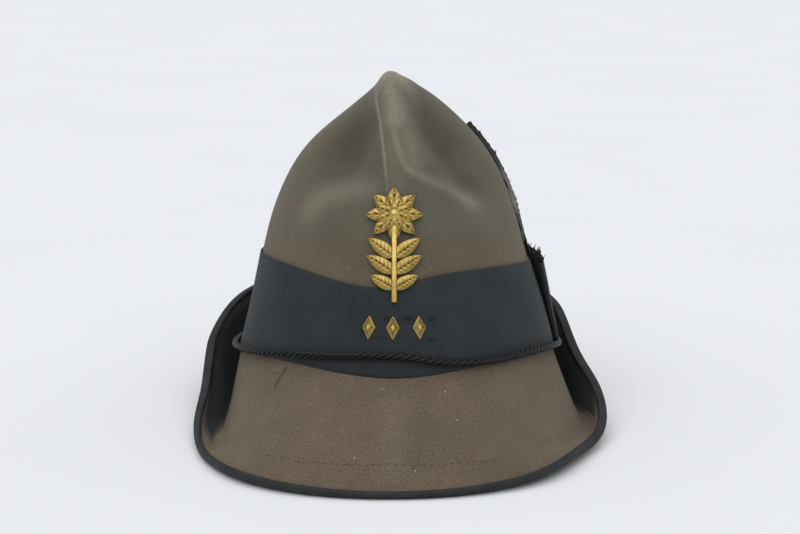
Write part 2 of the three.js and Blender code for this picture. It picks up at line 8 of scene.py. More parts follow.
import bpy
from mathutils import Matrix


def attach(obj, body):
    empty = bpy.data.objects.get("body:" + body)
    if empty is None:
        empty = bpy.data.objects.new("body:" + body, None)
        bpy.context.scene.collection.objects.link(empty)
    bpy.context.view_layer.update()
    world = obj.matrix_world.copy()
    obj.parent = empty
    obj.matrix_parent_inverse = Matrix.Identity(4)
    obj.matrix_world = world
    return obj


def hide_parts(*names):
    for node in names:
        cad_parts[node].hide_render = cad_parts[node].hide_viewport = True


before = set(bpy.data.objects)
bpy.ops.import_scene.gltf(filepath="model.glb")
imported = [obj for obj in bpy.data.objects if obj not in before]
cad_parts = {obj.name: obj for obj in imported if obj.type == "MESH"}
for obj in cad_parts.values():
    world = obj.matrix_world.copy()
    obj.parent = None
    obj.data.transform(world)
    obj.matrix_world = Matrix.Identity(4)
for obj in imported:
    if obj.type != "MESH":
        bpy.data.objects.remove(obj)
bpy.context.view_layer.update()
print("packed nodes:", sorted(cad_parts))

# %% [markdown]
# ## Measures that every step needs
# Sizes are easier to read in millimetres, so one factor turns them into Blender's metres. The crown is
# built round an upright line, and places on the cap are given from that line and from the floor. How far
# the cap's tip stands from that line is known, so the line is found from the felt's highest corner.

# %% Tools of the lesson
import math
import random

import bmesh
import bpy
from mathutils import Matrix, Vector, noise
from mathutils.bvhtree import BVHTree
from mathutils.kdtree import KDTree

MM = 0.001
scene = bpy.context.scene
TIP_PLACE = Vector((-2.4, -31, 0)) * MM
felt_corners = [vert.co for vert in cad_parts["felt_body"].data.vertices]
solid_tip = max(felt_corners, key=lambda corner: corner.z)
CROWN_AXIS = solid_tip - TIP_PLACE
CROWN_AXIS.z = 0


def cap_place(x, y, z):
    """A place in millimetres from the crown's upright line and the floor."""
    return CROWN_AXIS + Vector((x, y, z)) * MM


print("crown's upright line at", [round(part / MM, 2) for part in CROWN_AXIS])

# %% [markdown]
# ## Camera
# The picture was taken from a little above the band, with a fairly long lens. The focal length in pixels
# and the tilt were found by laying the cap's outline over the picture, and the lens in millimetres
# follows from them.

# %% Camera
IMAGE_WIDTH = 800
FOCAL_PIXELS = 1604
SENSOR_WIDTH = 36
CAMERA_TILT = math.radians(11)

camera_data = bpy.data.cameras.new("camera")
camera_data.sensor_width = SENSOR_WIDTH
camera_data.lens = FOCAL_PIXELS / IMAGE_WIDTH * SENSOR_WIDTH
camera = bpy.data.objects.new("camera", camera_data)
camera.location = cap_place(1.6, -826.3, 236.8)
camera.rotation_euler = (math.radians(90) - CAMERA_TILT, 0, 0)
scene.collection.objects.link(camera)
scene.camera = camera
print("lens", round(camera_data.lens, 1), "mm")

# %% [markdown]
# ## Colours and nodes
# Colours are written as the hex values that a picture shows, and one function turns them into the linear
# light that a shader works in. A second function adds a node, sets it and links it, so a material reads
# as a short recipe. A node that is given as an input stands for the first of its outputs that is in use.

# %% Helpers for materials
def linear(hex_colour):
    """Linear colour of an sRGB hex value."""
    shares = [int(hex_colour[at : at + 2], 16) / 255 for at in (1, 3, 5)]
    light = [s / 12.92 if s <= 0.04045 else ((s + 0.055) / 1.055) ** 2.4 for s in shares]
    return (*light, 1.0)


def add_node(tree, kind, inputs=None, **settings):
    """A shader node with its settings. Each input is a value, or a socket or a node to link."""
    made = tree.nodes.new("ShaderNode" + kind)
    for name, value in settings.items():
        setattr(made, name, value)
    for name, value in (inputs or {}).items():
        if isinstance(value, bpy.types.Node):
            value = next(socket for socket in value.outputs if socket.enabled)
        if isinstance(value, bpy.types.NodeSocket):
            tree.links.new(value, made.inputs[name])
        else:
            made.inputs[name].default_value = value
    return made


def start_material(name):
    """An empty material, its tree, and the place on the piece that its patterns follow."""
    material = bpy.data.materials.new(name)
    material.use_nodes = True
    tree = material.node_tree
    tree.nodes.clear()
    return material, tree, add_node(tree, "TexCoord").outputs["Object"]


# The mix node keeps its colour sockets behind those for numbers and vectors
FACTOR, COLOUR_A, COLOUR_B = 0, 6, 7
print("a middle grey in linear light:", [round(c, 3) for c in linear("#808080")[:3]])

# %% [markdown]
# ## Floor and studio light
# The cap stands on a plain pale floor, wide enough to fill the picture. Half of the light comes from a
# pale surround on all sides, as in a room with white walls. The other half falls from above, a little
# from the front and the left. It is a sun with a very wide disc, so it lights the whole floor evenly and
# throws no hard shadow.

# %% Floor
FLOOR_REACH = 15.0
ROLLER_PATCH = 1 / 3


def dull(name, dark, light, grain, detail, roughness):
    """A dull material in two shades, mottled at the size of its grain."""
    material, tree, place = start_material(name)
    mottle = add_node(tree, "TexNoise", {"Vector": place, "Scale": 1 / grain, "Detail": detail})
    tone = add_node(
        tree, "Mix", {FACTOR: mottle, COLOUR_A: linear(dark), COLOUR_B: linear(light)}, data_type="RGBA"
    )
    shader = add_node(tree, "BsdfPrincipled", {"Base Color": tone, "Roughness": roughness})
    add_node(tree, "OutputMaterial", {"Surface": shader})
    return material


# Rolled wall paint: a faint unevenness in tone is all that shows
paint = dull("matt_white_paint", "#e6e8ec", "#eceef1", ROLLER_PATCH, 3.0, 0.9)
bm = bmesh.new()
bmesh.ops.create_grid(bm, x_segments=1, y_segments=1, size=FLOOR_REACH)
floor_mesh = bpy.data.meshes.new("floor")
bm.to_mesh(floor_mesh)
bm.free()
floor_mesh.materials.append(paint)
floor = bpy.data.objects.new("floor", floor_mesh)
scene.collection.objects.link(floor)
print("floor", 2 * FLOOR_REACH, "m wide")

# %% Lamp and surround
CEILING = {"from": (-0.08, -0.5, 1.0), "power": 1.75, "disc": 80}
SURROUND = {"colour": "#f4f5f7", "strength": 0.58}

lamp_data = bpy.data.lights.new("ceiling", "SUN")
lamp_data.energy = CEILING["power"]
lamp_data.angle = math.radians(CEILING["disc"])
lamp = bpy.data.objects.new("ceiling", lamp_data)
lamp.location = CEILING["from"]
lamp.rotation_euler = (-lamp.location).to_track_quat("-Z", "Y").to_euler()
scene.collection.objects.link(lamp)
surround = bpy.data.worlds.new("surround")
surround.use_nodes = True
backdrop = surround.node_tree.nodes["Background"]
backdrop.inputs["Color"].default_value = linear(SURROUND["colour"])
backdrop.inputs["Strength"].default_value = SURROUND["strength"]
scene.world = surround
scene.view_settings.view_transform = "Standard"
print("light from", CEILING["from"])

# %% [markdown]
# ## From a solid to a soft surface
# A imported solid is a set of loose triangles. Merging their corners and joining them in pairs gives back
# the four-sided cells that they were cut from, and a subdivision surface then rounds those cells into a
# smooth skin. The skin keeps the solid's size, because its cells are small against the curves of the
# cap. A cut edge of cloth would shrink, so edges that turn by more than a given angle are marked to stay
# where they are.

# %% Helpers for pieces
MERGE_REACH = 0.01 * MM
JOIN_LIMIT = math.radians(70)


def cells_of(node):
    """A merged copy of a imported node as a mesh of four-sided cells."""
    bm = bmesh.new()
    bm.from_mesh(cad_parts[node].data)
    bmesh.ops.remove_doubles(bm, verts=bm.verts, dist=MERGE_REACH)
    bmesh.ops.join_triangles(
        bm, faces=bm.faces, angle_face_threshold=JOIN_LIMIT, angle_shape_threshold=JOIN_LIMIT
    )
    return bm


def make_piece(bm, name, material, smooth=True):
    """An object of that mesh, riding on the cap."""
    mesh = bpy.data.meshes.new(name)
    bm.to_mesh(mesh)
    bm.free()
    if "custom_normal" in mesh.attributes:
        mesh.attributes.remove(mesh.attributes["custom_normal"])
    mesh.polygons.foreach_set("use_smooth", [smooth] * len(mesh.polygons))
    mesh.materials.clear()
    mesh.materials.append(material)
    piece = bpy.data.objects.new(name, mesh)
    scene.collection.objects.link(piece)
    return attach(piece, "root")


def rounded(bm, levels, kept_angle=180):
    """The subdivision surface of a mesh, as a mesh again."""
    crease = bm.edges.layers.float.new("crease_edge")
    for edge in bm.edges:
        if edge.is_manifold and math.degrees(edge.calc_face_angle()) > kept_angle:
            edge[crease] = 1.0
    mesh = bpy.data.meshes.new("draft")
    bm.to_mesh(mesh)
    bm.free()
    draft = bpy.data.objects.new("draft", mesh)
    scene.collection.objects.link(draft)
    skin = draft.modifiers.new("skin", "SUBSURF")
    skin.levels = skin.render_levels = levels
    smooth = bmesh.new()
    smooth.from_object(draft, bpy.context.evaluated_depsgraph_get())
    bpy.data.objects.remove(draft)
    bpy.data.meshes.remove(mesh)
    return smooth


def through(points, steps):
    """A smooth line through a few points, with so many steps between each two."""
    line = []
    for at in range(len(points) - 1):
        before = Vector(points[max(at - 1, 0)])
        here, there = Vector(points[at]), Vector(points[at + 1])
        after = Vector(points[min(at + 2, len(points) - 1)])
        for step in range(steps):
            t = step / steps
            pull = (there - before) * (t - 2 * t**2 + t**3) / 2 + (after - here) * (t**3 - t**2) / 2
            line.append(here + (there - here) * (3 * t**2 - 2 * t**3) + pull)
    line.append(Vector(points[-1]))
    return line


def cloth_area(piece):
    """Area of one face of a thin closed piece, in square metres."""
    return sum(face.area for face in piece.data.polygons) / 2


print("helpers ready")

# %% [markdown]
# ## Wool felt
# Felt is wool, matted with steam and pressure, so it has no threads: the eye sees a dull nap of short
# fibres, a speckle of lighter and darker wool, and large soft clouds of fading. It could be made as a
# hair system, but at this distance a fibre is thinner than a pixel, so noise at the size of the tufts
# gives the same look for less. The brim is browner and its nap coarser than the crown's. Two values
# stored on the mesh say where the nap is pale and thin, along the creases and at the tip, partly rubbed
# and partly painted highlight, and where it is darkened as painted shade.

# %% Colours of the felt
CLOUD_SIZE = 46 * MM
PATCH_SIZE = 17 * MM
TUFT_SIZE = 0.8 * MM
FIBRE_SIZE = 0.45 * MM
BROWN_UP_TO = 60 * MM
OLIVE_FROM = 130 * MM

felt, tree, place = start_material("wool_felt")
# Matted wool: hardly any gloss, a nap of fine bumps, and a faint fuzz of light where it turns away
height = add_node(tree, "SeparateXYZ", {"Vector": place}).outputs["Z"]
crown_share = add_node(
    tree,
    "MapRange",
    {"Value": height, "From Min": BROWN_UP_TO, "From Max": OLIVE_FROM},
    interpolation_type="SMOOTHSTEP",
)
height_tone = add_node(
    tree,
    "Mix",
    {FACTOR: crown_share, COLOUR_A: linear("#625648"), COLOUR_B: linear("#59574b")},
    data_type="RGBA",
)
cloud = add_node(tree, "TexNoise", {"Vector": place, "Scale": 1 / CLOUD_SIZE, "Detail": 3.0})
clouding = add_node(tree, "MapRange", {"Value": cloud, "From Min": 0.38, "From Max": 0.62, "To Max": 0.4})
clouded = add_node(
    tree, "Mix", {FACTOR: clouding, COLOUR_A: height_tone, COLOUR_B: linear("#574d3f")}, data_type="RGBA"
)
# Paler where the mesh value says: partly rubbed nap, partly painted highlight on the ridge, the lips and the
# tip
rubbed_and_highlight = add_node(tree, "Attribute", attribute_name="rubbed_and_highlight").outputs["Fac"]
paled = add_node(
    tree, "Mix", {FACTOR: rubbed_and_highlight, COLOUR_A: clouded, COLOUR_B: linear("#a09989")}, data_type="RGBA"
)
# Near black where the mesh value says: painted shade in the dents, along creases and nicks, and in the
# groove by the turned-up brim
painted_shade = add_node(tree, "Attribute", attribute_name="painted_shade").outputs["Fac"]
painted_shade_mix = add_node(
    tree, "Mix", {FACTOR: painted_shade, COLOUR_A: paled, COLOUR_B: linear("#0c0b07")}, data_type="RGBA"
)
print("felt turns from brown to olive between", BROWN_UP_TO / MM, "and", OLIVE_FROM / MM, "mm")

# %% Nap of the felt
NAP_DEPTH = 0.5 * MM

patch = add_node(
    tree, "TexNoise", {"Vector": place, "Scale": 1 / PATCH_SIZE, "Detail": 4.0, "Roughness": 0.6}
)
tuft = add_node(
    tree, "TexNoise", {"Vector": place, "Scale": 1 / TUFT_SIZE, "Detail": 2.0, "Roughness": 0.7}
)
fibre = add_node(tree, "TexNoise", {"Vector": place, "Scale": 1 / FIBRE_SIZE, "Detail": 1.0})
patch_gain = add_node(
    tree, "MapRange", {"Value": patch, "From Min": 0.3, "From Max": 0.7, "To Min": 0.91, "To Max": 1.09}
)
coarse_brim = add_node(tree, "MapRange", {"Value": crown_share, "To Min": 1.6, "To Max": 0.45})
coarseness = add_node(tree, "Math", {0: rubbed_and_highlight, 1: 1.8, 2: coarse_brim}, operation="MULTIPLY_ADD")
speckle = add_node(tree, "Math", {0: tuft, 1: 0.5}, operation="SUBTRACT")
tuft_gain = add_node(tree, "Math", {0: speckle, 1: coarseness, 2: 1.0}, operation="MULTIPLY_ADD")
gain = add_node(tree, "Math", {0: patch_gain, 1: tuft_gain}, operation="MULTIPLY")
napped = add_node(tree, "VectorMath", {0: painted_shade_mix, "Scale": gain}, operation="SCALE")
nap_height = add_node(tree, "Math", {0: fibre, 1: 0.6, 2: tuft}, operation="MULTIPLY_ADD")
nap = add_node(tree, "Bump", {"Height": nap_height, "Strength": 0.45, "Distance": NAP_DEPTH})
shader = add_node(
    tree,
    "BsdfPrincipled",
    {
        "Base Color": napped,
        "Roughness": 0.95,
        "Specular IOR Level": 0.15,
        "Sheen Weight": 0.2,
        "Sheen Roughness": 0.6,
        "Sheen Tint": linear("#c9c3b3"),
        "Normal": nap,
    },
)
add_node(tree, "OutputMaterial", {"Surface": shader})
print("felt has", len(tree.nodes), "nodes")

# %% [markdown]
# ## Crown and brim
# The cap is one piece of felt, steamed over a block and then pinched at the front. The pinch leaves a
# narrow ridge with two worn edges, and the lower edge of each dent is a soft lip. The solid has the
# dents and the ridge, and the finer creases are pushed out of its rounded skin here. Each crease is a
# line seen from the front, with its height, its widths and its painted shade on the right and the left
# hand of the line, and how far the wool is made pale along it, partly rubbed and partly painted
# highlight. A row with no height only pales the wool, as painted highlight on and beside the ridge. A
# nick in the brim is a crease pushed inwards, with painted shade in it. The cells near a sharp line are
# split first, so that it is crisp. The dents have painted shade, and so has the groove that runs forward
# from the turned-up brim at the wearer's right. The tip is pale, partly rubbed and partly painted
# highlight, with two soft knobs beside it.

# %% Creases in the felt
# Per row, shades and dark are painted shade beside and along the line, and pale is partly rubbed nap and
# partly painted highlight
CREASES = [
    {
        "line": [
            *((-12.2, 181), (-10.9, 173), (-9.8, 164.3), (-8.2, 156.6)),
            *((-7.2, 149.8), (-5.9, 140.2), (-4, 121)),
        ],
        "raise": 2.8,
        "widths": (0.8, 6.0),
        "shades": (0.06, 0.0),
        "pale": 0.62,
        "wash": 0.75,
        "cuts": 2,
    },
    {
        "line": [
            *((-3.2, 164), (-2.3, 158), (-0.8, 152.6), (0.6, 147.6)),
            *((3.5, 139.4), (7.3, 135.1), (13.6, 132.1)),
        ],
        "raise": 0.8,
        "widths": (4.0, 2.0),
        "shades": (0.0, 0.06),
        "pale": 0.36,
        "wash": 2.6,
        "cuts": 1,
    },
    {
        "line": [(5.3, 137), (13.6, 132.1), (24.8, 126.2), (33.8, 119.9), (42.5, 114)],
        "raise": 1.2,
        "widths": (7.0, 2.0),
        "shades": (0.0, 0.16),
        "pale": 0.32,
        "wash": 2.3,
        "cuts": 1,
    },
    {
        "line": [(-6.6, 128), (-17.7, 125.8), (-31.2, 122.2), (-38.6, 118.1), (-43.5, 112.4), (-45.4, 107)],
        "raise": 0.8,
        "widths": (4.0, 6.0),
        "pale": 0.22,
        "wash": 4.5,
    },
    {"line": [(-4, 186), (-3, 172), (-1, 162), (1, 152)], "pale": 0.48, "wash": 6},
    {"line": [(-4, 158), (-2, 146), (-1, 136), (0, 118)], "pale": 0.13, "wash": 6},
    {"line": [(2.5, 164), (5, 150), (8, 141), (12, 134)], "pale": 0.26, "wash": 5},
    {"line": [(-1.2, 40), (-1.5, 22), (-1.2, 5)], "raise": 0.4, "widths": (9, 9), "pale": 0.04, "wash": 8.0},
    {
        "line": [(-52.4, 42.6), (-55.6, 38.3), (-58.7, 32.8)],
        "raise": -0.7,
        "widths": (0.5, 0.5),
        "dark": 0.55,
        "wash": 0.5,
        "cuts": 3,
    },
    {
        "line": [(-61, 37.2), (-58.6, 38.8), (-56.4, 39)],
        "raise": -0.25,
        "widths": (0.5, 0.5),
        "dark": 0.25,
        "wash": 0.6,
        "cuts": 3,
    },
]
# Spots of painted shade, seen from the front: the dents and a few softer hollows
SHADE_SPOTS = [
    {"x": -25, "z": 145, "wide": 15, "tall": 18, "dark": 0.4},
    {"x": -22, "z": 160, "wide": 10, "tall": 11, "dark": 0.36},
    {"x": 25, "z": 146, "wide": 11, "tall": 14, "dark": 0.38},
    {"x": 15, "z": 162, "wide": 7, "tall": 12, "dark": 0.2},
    {"x": 34, "z": 127, "wide": 10, "tall": 6, "dark": 0.22},
    {"x": 10, "z": 25, "wide": 7, "tall": 18, "dark": 0.07},
    {"x": -38, "z": 99, "wide": 22, "tall": 12, "dark": 0.09},
]
CREASE_PUSH = Vector((0, -0.9, 0.44))
SHADE_REACH = 5 * MM
LINE_STEPS = 6
LINE_REACH = 30 * MM
FRONT_START = 10 * MM
FRONT_RUN = 25 * MM

for row in CREASES:
    row["smooth"] = [point * MM for point in through(row["line"], LINE_STEPS)]


def clamped(value):
    """The value, held between nothing and one."""
    return min(max(value, 0), 1)


def bell(apart):
    """One in the middle, falling off softly on both sides."""
    return math.exp(-(apart**2))


def off_spot(place, row):
    """Square of the distance of a place from a spot, seen from the front, in sizes of the spot."""
    wide = ((place.x - CROWN_AXIS.x) / MM - row["x"]) / row["wide"]
    tall = (place.z / MM - row["z"]) / row["tall"]
    return wide**2 + tall**2


def off_line(place, line):
    """Seen from the front, how far a place lies off a line, on which side, and how far along it."""
    seen = Vector((place.x - CROWN_AXIS.x, place.z))
    best, side, share = 1.0, 0, 0.0
    if (seen - line[len(line) // 2]).length > LINE_REACH + (line[-1] - line[0]).length / 2:
        return best, side, share
    for at in range(len(line) - 1):
        run = line[at + 1] - line[at]
        t = clamped((seen - line[at]).dot(run) / run.length_squared)
        apart = (line[at] + run * t - seen).length
        if apart < best:
            best, share = apart, (at + t) / (len(line) - 1)
            side = 1 if run.cross(seen - line[at]) > 0 else 0
    return best, side, share


def facing_front(place):
    """One on the front of the crown, falling to nothing towards its sides."""
    return clamped((CROWN_AXIS.y - FRONT_START - place.y) / FRONT_RUN)


print(len(CREASES), "creases")

# %% Felt split near its creases
FELT_LEVELS = 2
SPLIT_REACH = 4 * MM


def split_near(bm, is_near, cuts):
    """Splits the cells on the cap's front whose middles are near enough to a mark."""
    near = []
    for face in bm.faces:
        middle = face.calc_center_median()
        if facing_front(middle) > 0 and is_near(middle):
            near.append(face)
    edges = list(dict.fromkeys(edge for face in near for edge in face.edges))
    bmesh.ops.subdivide_edges(bm, edges=edges, cuts=cuts, use_grid_fill=True)


bm = rounded(cells_of("felt_body"), FELT_LEVELS)
for cuts in (1, 2, 3):
    lines = [row["smooth"] for row in CREASES if row.get("cuts") == cuts]
    split_near(bm, lambda middle: any(off_line(middle, line)[0] < SPLIT_REACH for line in lines), cuts)
print("felt cells", len(bm.faces))

# %% Felt shaped and shaded
FELT_SWELL = 0.5 * MM
SWELL_SIZE = 34 * MM
SWELL_MIDDLE = cap_place(0, 0, 60)
SWELL_FADE = 30 * MM
TIP_REACH = 12 * MM
TIP_RUB_AND_HIGHLIGHT = 0.7
CREASE_ENDS = {"fade": 5, "least": 0.1}
# A streak of painted shade along the groove in front of the turned-up brim at the wearer's right
FLAP_SHADE = {
    "from": cap_place(-90.5, -70, 4.3),
    "run": Vector((1.5, -22, 0.7)) * MM,
    "reach": 2 * MM,
    "dark": 0.6,
    "fade": 0.7,
}

tip = max((vert.co.copy() for vert in bm.verts), key=lambda corner: corner.z)
lost = solid_tip.z - tip.z
rubbed_and_highlight_layer = bm.verts.layers.float.new("rubbed_and_highlight")
painted_shade_layer = bm.verts.layers.float.new("painted_shade")
for vert in bm.verts:
    at_rest = vert.co.copy()
    outward = (at_rest - SWELL_MIDDLE).normalized()
    swell = noise.noise(at_rest / SWELL_SIZE) * min(at_rest.z / SWELL_FADE, 1)
    vert.co += outward * FELT_SWELL * swell
    # The tip is made pale: partly rubbed nap, partly painted highlight
    near_tip = bell((at_rest - tip).length / TIP_REACH)
    vert.co.z += lost * near_tip
    vert[rubbed_and_highlight_layer] = TIP_RUB_AND_HIGHLIGHT * near_tip
    # Painted shade streak in the groove by the turned-up brim
    from_flap = at_rest - FLAP_SHADE["from"]
    along = clamped(from_flap.dot(FLAP_SHADE["run"]) / FLAP_SHADE["run"].length_squared)
    off_flap = (from_flap - FLAP_SHADE["run"] * along).length / FLAP_SHADE["reach"]
    vert[painted_shade_layer] = FLAP_SHADE["dark"] * (1 - FLAP_SHADE["fade"] * along) * bell(off_flap)
    front = facing_front(at_rest)
    if front == 0:
        continue
    for row in CREASES:
        apart, side, share = off_line(at_rest, row["smooth"])
        fade = front * min(min(share, 1 - share) * CREASE_ENDS["fade"] + CREASE_ENDS["least"], 1)
        width = row.get("widths", (1, 1))[side] * MM
        vert.co += CREASE_PUSH * row.get("raise", 0) * MM * fade * math.exp(-apart / width)
        # Pale along the line: partly rubbed nap, partly painted highlight; dark and shades: painted shade
        wash = fade * bell(apart / (row["wash"] * MM))
        vert[rubbed_and_highlight_layer] = max(vert[rubbed_and_highlight_layer], row.get("pale", 0) * wash)
        vert[painted_shade_layer] = max(vert[painted_shade_layer], row.get("dark", 0) * wash)
        vert[painted_shade_layer] += row.get("shades", (0, 0))[side] * fade * math.exp(-apart / SHADE_REACH)
    # Painted shade in the dents and softer hollows
    for row in SHADE_SPOTS:
        vert[painted_shade_layer] += row["dark"] * front * math.exp(-off_spot(at_rest, row))
print("tip raised by", round(lost / MM, 1), "mm")

# %% Knobs at the tip
KNOBS = [
    {"aside": Vector((5, 0, 0)) * MM, "reach": 9 * MM, "raise": 1.8 * MM},
    {"aside": Vector((11, 7.5, -7.5)) * MM, "reach": 9 * MM, "raise": 1.6 * MM},
]
KNOB_ROUNDS = 6
KNOB_SMOOTHING = 0.5

for row in KNOBS:
    middle = tip + row["aside"]
    knob = [vert for vert in bm.verts if (vert.co - middle).length < row["reach"]]
    for _ in range(KNOB_ROUNDS):
        bmesh.ops.smooth_vert(
            bm, verts=knob, factor=KNOB_SMOOTHING, use_axis_x=True, use_axis_y=True, use_axis_z=True
        )
    for vert in bm.verts:
        vert.co.z += row["raise"] * bell((vert.co - middle).length / row["reach"])
felt_skin = BVHTree.FromBMesh(bm)
felt_piece = make_piece(bm, "felt_crown_and_brim", felt)
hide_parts("felt_body")
print("felt finished with", len(felt_piece.data.polygons), "cells")

# %% [markdown]
# ## Marks on the brim
# A row of hand stitches runs along the front of the brim, a finger's width above its edge: short dark
# dashes with uneven gaps. Each is a thin tube between two places on the felt, found by looking at the
# felt straight from the front. A few specks of lint cling to the nap, and they are placed in the same
# way.

# %% Sewing thread and lint materials
THREAD_FUZZ = 0.6 * MM
LINT_FLUFF = 0.4 * MM

# Waxed linen thread: dull, and too thin here for its twist to show
thread = dull("brown_sewing_thread", "#2a231d", "#4b4036", THREAD_FUZZ, 1.0, 0.85)
# Loose cotton fluff: pale, and it scatters light, so it has no gloss at all
lint = dull("cotton_lint", "#a89f92", "#dcd7cd", LINT_FLUFF, 1.0, 1.0)
print("thread and lint ready")

# %% Stitches
STITCH_ROW = {"start": -66, "stop": 44, "height": 12.3, "pitch": 3.3, "length": 1.7}
STITCH_SLIPS = {"length": 0.25, "height": 0.35, "end": 0.3, "pitch": 0.2}
STITCH_THREAD = {"radius": 0.15 * MM, "taper": 0.7, "sides": 6}
STITCH_PROUD = 0.05 * MM
BEFORE_CAP = -300


def on_felt_front(x, z):
    """Place and outward direction on the felt, seen from the front."""
    found, direction, _, _ = felt_skin.ray_cast(cap_place(x, BEFORE_CAP, z), Vector((0, 1, 0)))
    return found, direction


def lay_thread(bm, middle, run, length, shape):
    """A thin round thread of that length about a middle, along a run."""
    bmesh.ops.create_cone(
        bm,
        segments=shape["sides"],
        radius1=shape["radius"],
        radius2=shape["radius"] * shape["taper"],
        depth=length,
        cap_ends=True,
        matrix=Matrix.Translation(middle) @ run.to_track_quat("Z", "Y").to_matrix().to_4x4(),
    )


chance = random.Random(4)
bm = bmesh.new()
count = 0
at = STITCH_ROW["start"]
while at < STITCH_ROW["stop"]:
    length = STITCH_ROW["length"] * chance.uniform(1 - STITCH_SLIPS["length"], 1 + STITCH_SLIPS["length"])
    height = STITCH_ROW["height"] + chance.uniform(-STITCH_SLIPS["height"], STITCH_SLIPS["height"])
    end_slip = chance.uniform(-STITCH_SLIPS["end"], STITCH_SLIPS["end"])
    first, _ = on_felt_front(at, height)
    last, outward = on_felt_front(at + length, height + end_slip)
    run = last - first
    lay_thread(bm, (first + last) / 2 + outward * STITCH_PROUD, run, run.length, STITCH_THREAD)
    count += 1
    at += STITCH_ROW["pitch"] * chance.uniform(1 - STITCH_SLIPS["pitch"], 1 + STITCH_SLIPS["pitch"])
make_piece(bm, "brim_stitches", thread)
print(count, "stitches")

# %% Lint
LINT = [(22.6, 36.7), (-6.6, 38.2), (8.3, 10.3), (-18.9, 14.5), (28, 26.8)]
LINT_SIZE = 0.38 * MM
LINT_STRETCH = (1.3, 0.7, 0.8, 1)
LINT_PROUD = 0.15 * MM

bm = bmesh.new()
for x, z in LINT:
    found, outward = on_felt_front(x, z)
    turn = Matrix.Rotation(chance.uniform(0, 3), 4, "Y") @ Matrix.Diagonal(LINT_STRETCH)
    place = Matrix.Translation(found + outward * LINT_PROUD) @ turn
    bmesh.ops.create_icosphere(bm, subdivisions=1, radius=LINT_SIZE, matrix=place)
make_piece(bm, "lint_specks", lint)
print(len(LINT), "specks of lint")

# %% [markdown]
# ## Black cloth
# The band, the loop and the facing are a dull black cloth, woven fine and hard. Its threads are about
# half a millimetre apart, which is a pixel here, so they are drawn a little coarser to show at all. The
# weave follows the cloth and not the room, so each piece carries its own map: along the cloth and across
# it. Where the cloth is worn through it has the brown of the felt, and beside the studs it is near black,
# as painted shade of pin holes and of the studs' shadows. Values on the mesh say where, and they are
# nothing elsewhere.

# %% Cloth material
THREAD_PITCH = 0.9 * MM
CLOTH_CLOUD = 30 * MM
CLOTH_DUST = 1.2 * MM
WEAVE_DEPTH = 0.15 * MM


def woven(name, dark, light, roughness):
    """A plain weave in two shades on the piece's own map."""
    material, tree, place = start_material(name)
    run = add_node(tree, "UVMap", uv_map="weave")
    axes = add_node(tree, "SeparateXYZ", {"Vector": run})
    threads = []
    for axis in ("X", "Y"):
        turn = add_node(
            tree, "Math", {0: axes.outputs[axis], 1: 2 * math.pi / THREAD_PITCH}, operation="MULTIPLY"
        )
        threads.append(add_node(tree, "Math", {0: turn}, operation="SINE"))
    weave = add_node(tree, "Math", {0: threads[0], 1: threads[1]}, operation="MULTIPLY")
    cloud = add_node(tree, "TexNoise", {"Vector": place, "Scale": 1 / CLOTH_CLOUD, "Detail": 5.0})
    dust = add_node(tree, "TexNoise", {"Vector": place, "Scale": 1 / CLOTH_DUST, "Detail": 1.0})
    shade = add_node(tree, "Math", {0: dust, 1: 0.35, 2: cloud}, operation="MULTIPLY_ADD")
    blend = add_node(tree, "MapRange", {"Value": shade, "From Min": 0.45, "From Max": 0.9})
    tone = add_node(
        tree, "Mix", {FACTOR: blend, COLOUR_A: linear(dark), COLOUR_B: linear(light)}, data_type="RGBA"
    )
    # The first mark is the brown of the felt; the second is near black, painted shade of pin holes and of
    # the studs' shadows
    for mark, colour in (("worn", "#574c40"), ("pin_shade", "#08090a")):
        share = add_node(tree, "Attribute", attribute_name=mark).outputs["Fac"]
        tone = add_node(
            tree, "Mix", {FACTOR: share, COLOUR_A: tone, COLOUR_B: linear(colour)}, data_type="RGBA"
        )
    bump = add_node(tree, "Bump", {"Height": weave, "Strength": 0.25, "Distance": WEAVE_DEPTH})
    shader = add_node(
        tree,
        "BsdfPrincipled",
        {
            "Base Color": tone,
            "Roughness": roughness,
            "Specular IOR Level": 0.3,
            "Sheen Weight": 0.1,
            "Sheen Roughness": 0.4,
            "Sheen Tint": linear("#b9c2c8"),
            "Normal": bump,
        },
    )
    add_node(tree, "OutputMaterial", {"Surface": shader})
    return material


# Hard-woven cotton: a dull black with a faint cool sheen. The loop and the facing are a shade darker
band_cloth = woven("black_cotton_cloth", "#1f2325", "#292e31", 0.78)
loop_cloth = woven("black_folded_cloth", "#131618", "#202426", 0.85)
facing_cloth = woven("black_lining_cloth", "#171a1c", "#212527", 0.88)
print("thread pitch", THREAD_PITCH / MM, "mm")

# %% [markdown]
# ## Hat band
# The band is a strip of the black cloth, drawn round the foot of the crown and sewn to itself under the
# loop. It is a little slack: soft upright folds stand beside the badge, and a short crease runs near its
# lower edge. Small dark marks lie beside the studs, where other pins have been. The cloth is cut
# finer there to carry them. The map is the strip laid flat, with the angle round the crown as its length
# and the height as its width. The band is higher behind than in front, and longer at its foot, so its
# flat size is a mean of each.

# %% Maps of cloth that goes round the crown
def round_angle(place):
    """Angle round the crown from the front, so that the join of a map lies at the back."""
    return math.atan2(place.x - CROWN_AXIS.x, CROWN_AXIS.y - place.y)


def map_round(bm, radius):
    """A map of a piece that goes round the crown: the way round it, and the height."""
    weave = bm.loops.layers.uv.new("weave")
    for face in bm.faces:
        middle = round_angle(face.calc_center_median())
        for loop in face.loops:
            turn = round_angle(loop.vert.co)
            if turn - middle > math.pi:
                turn -= 2 * math.pi
            elif middle - turn > math.pi:
                turn += 2 * math.pi
            loop[weave].uv = (turn * radius, loop.vert.co.z)


print("maps are cut open at", round(math.degrees(round_angle(cap_place(0, 1, 0)))), "degrees")

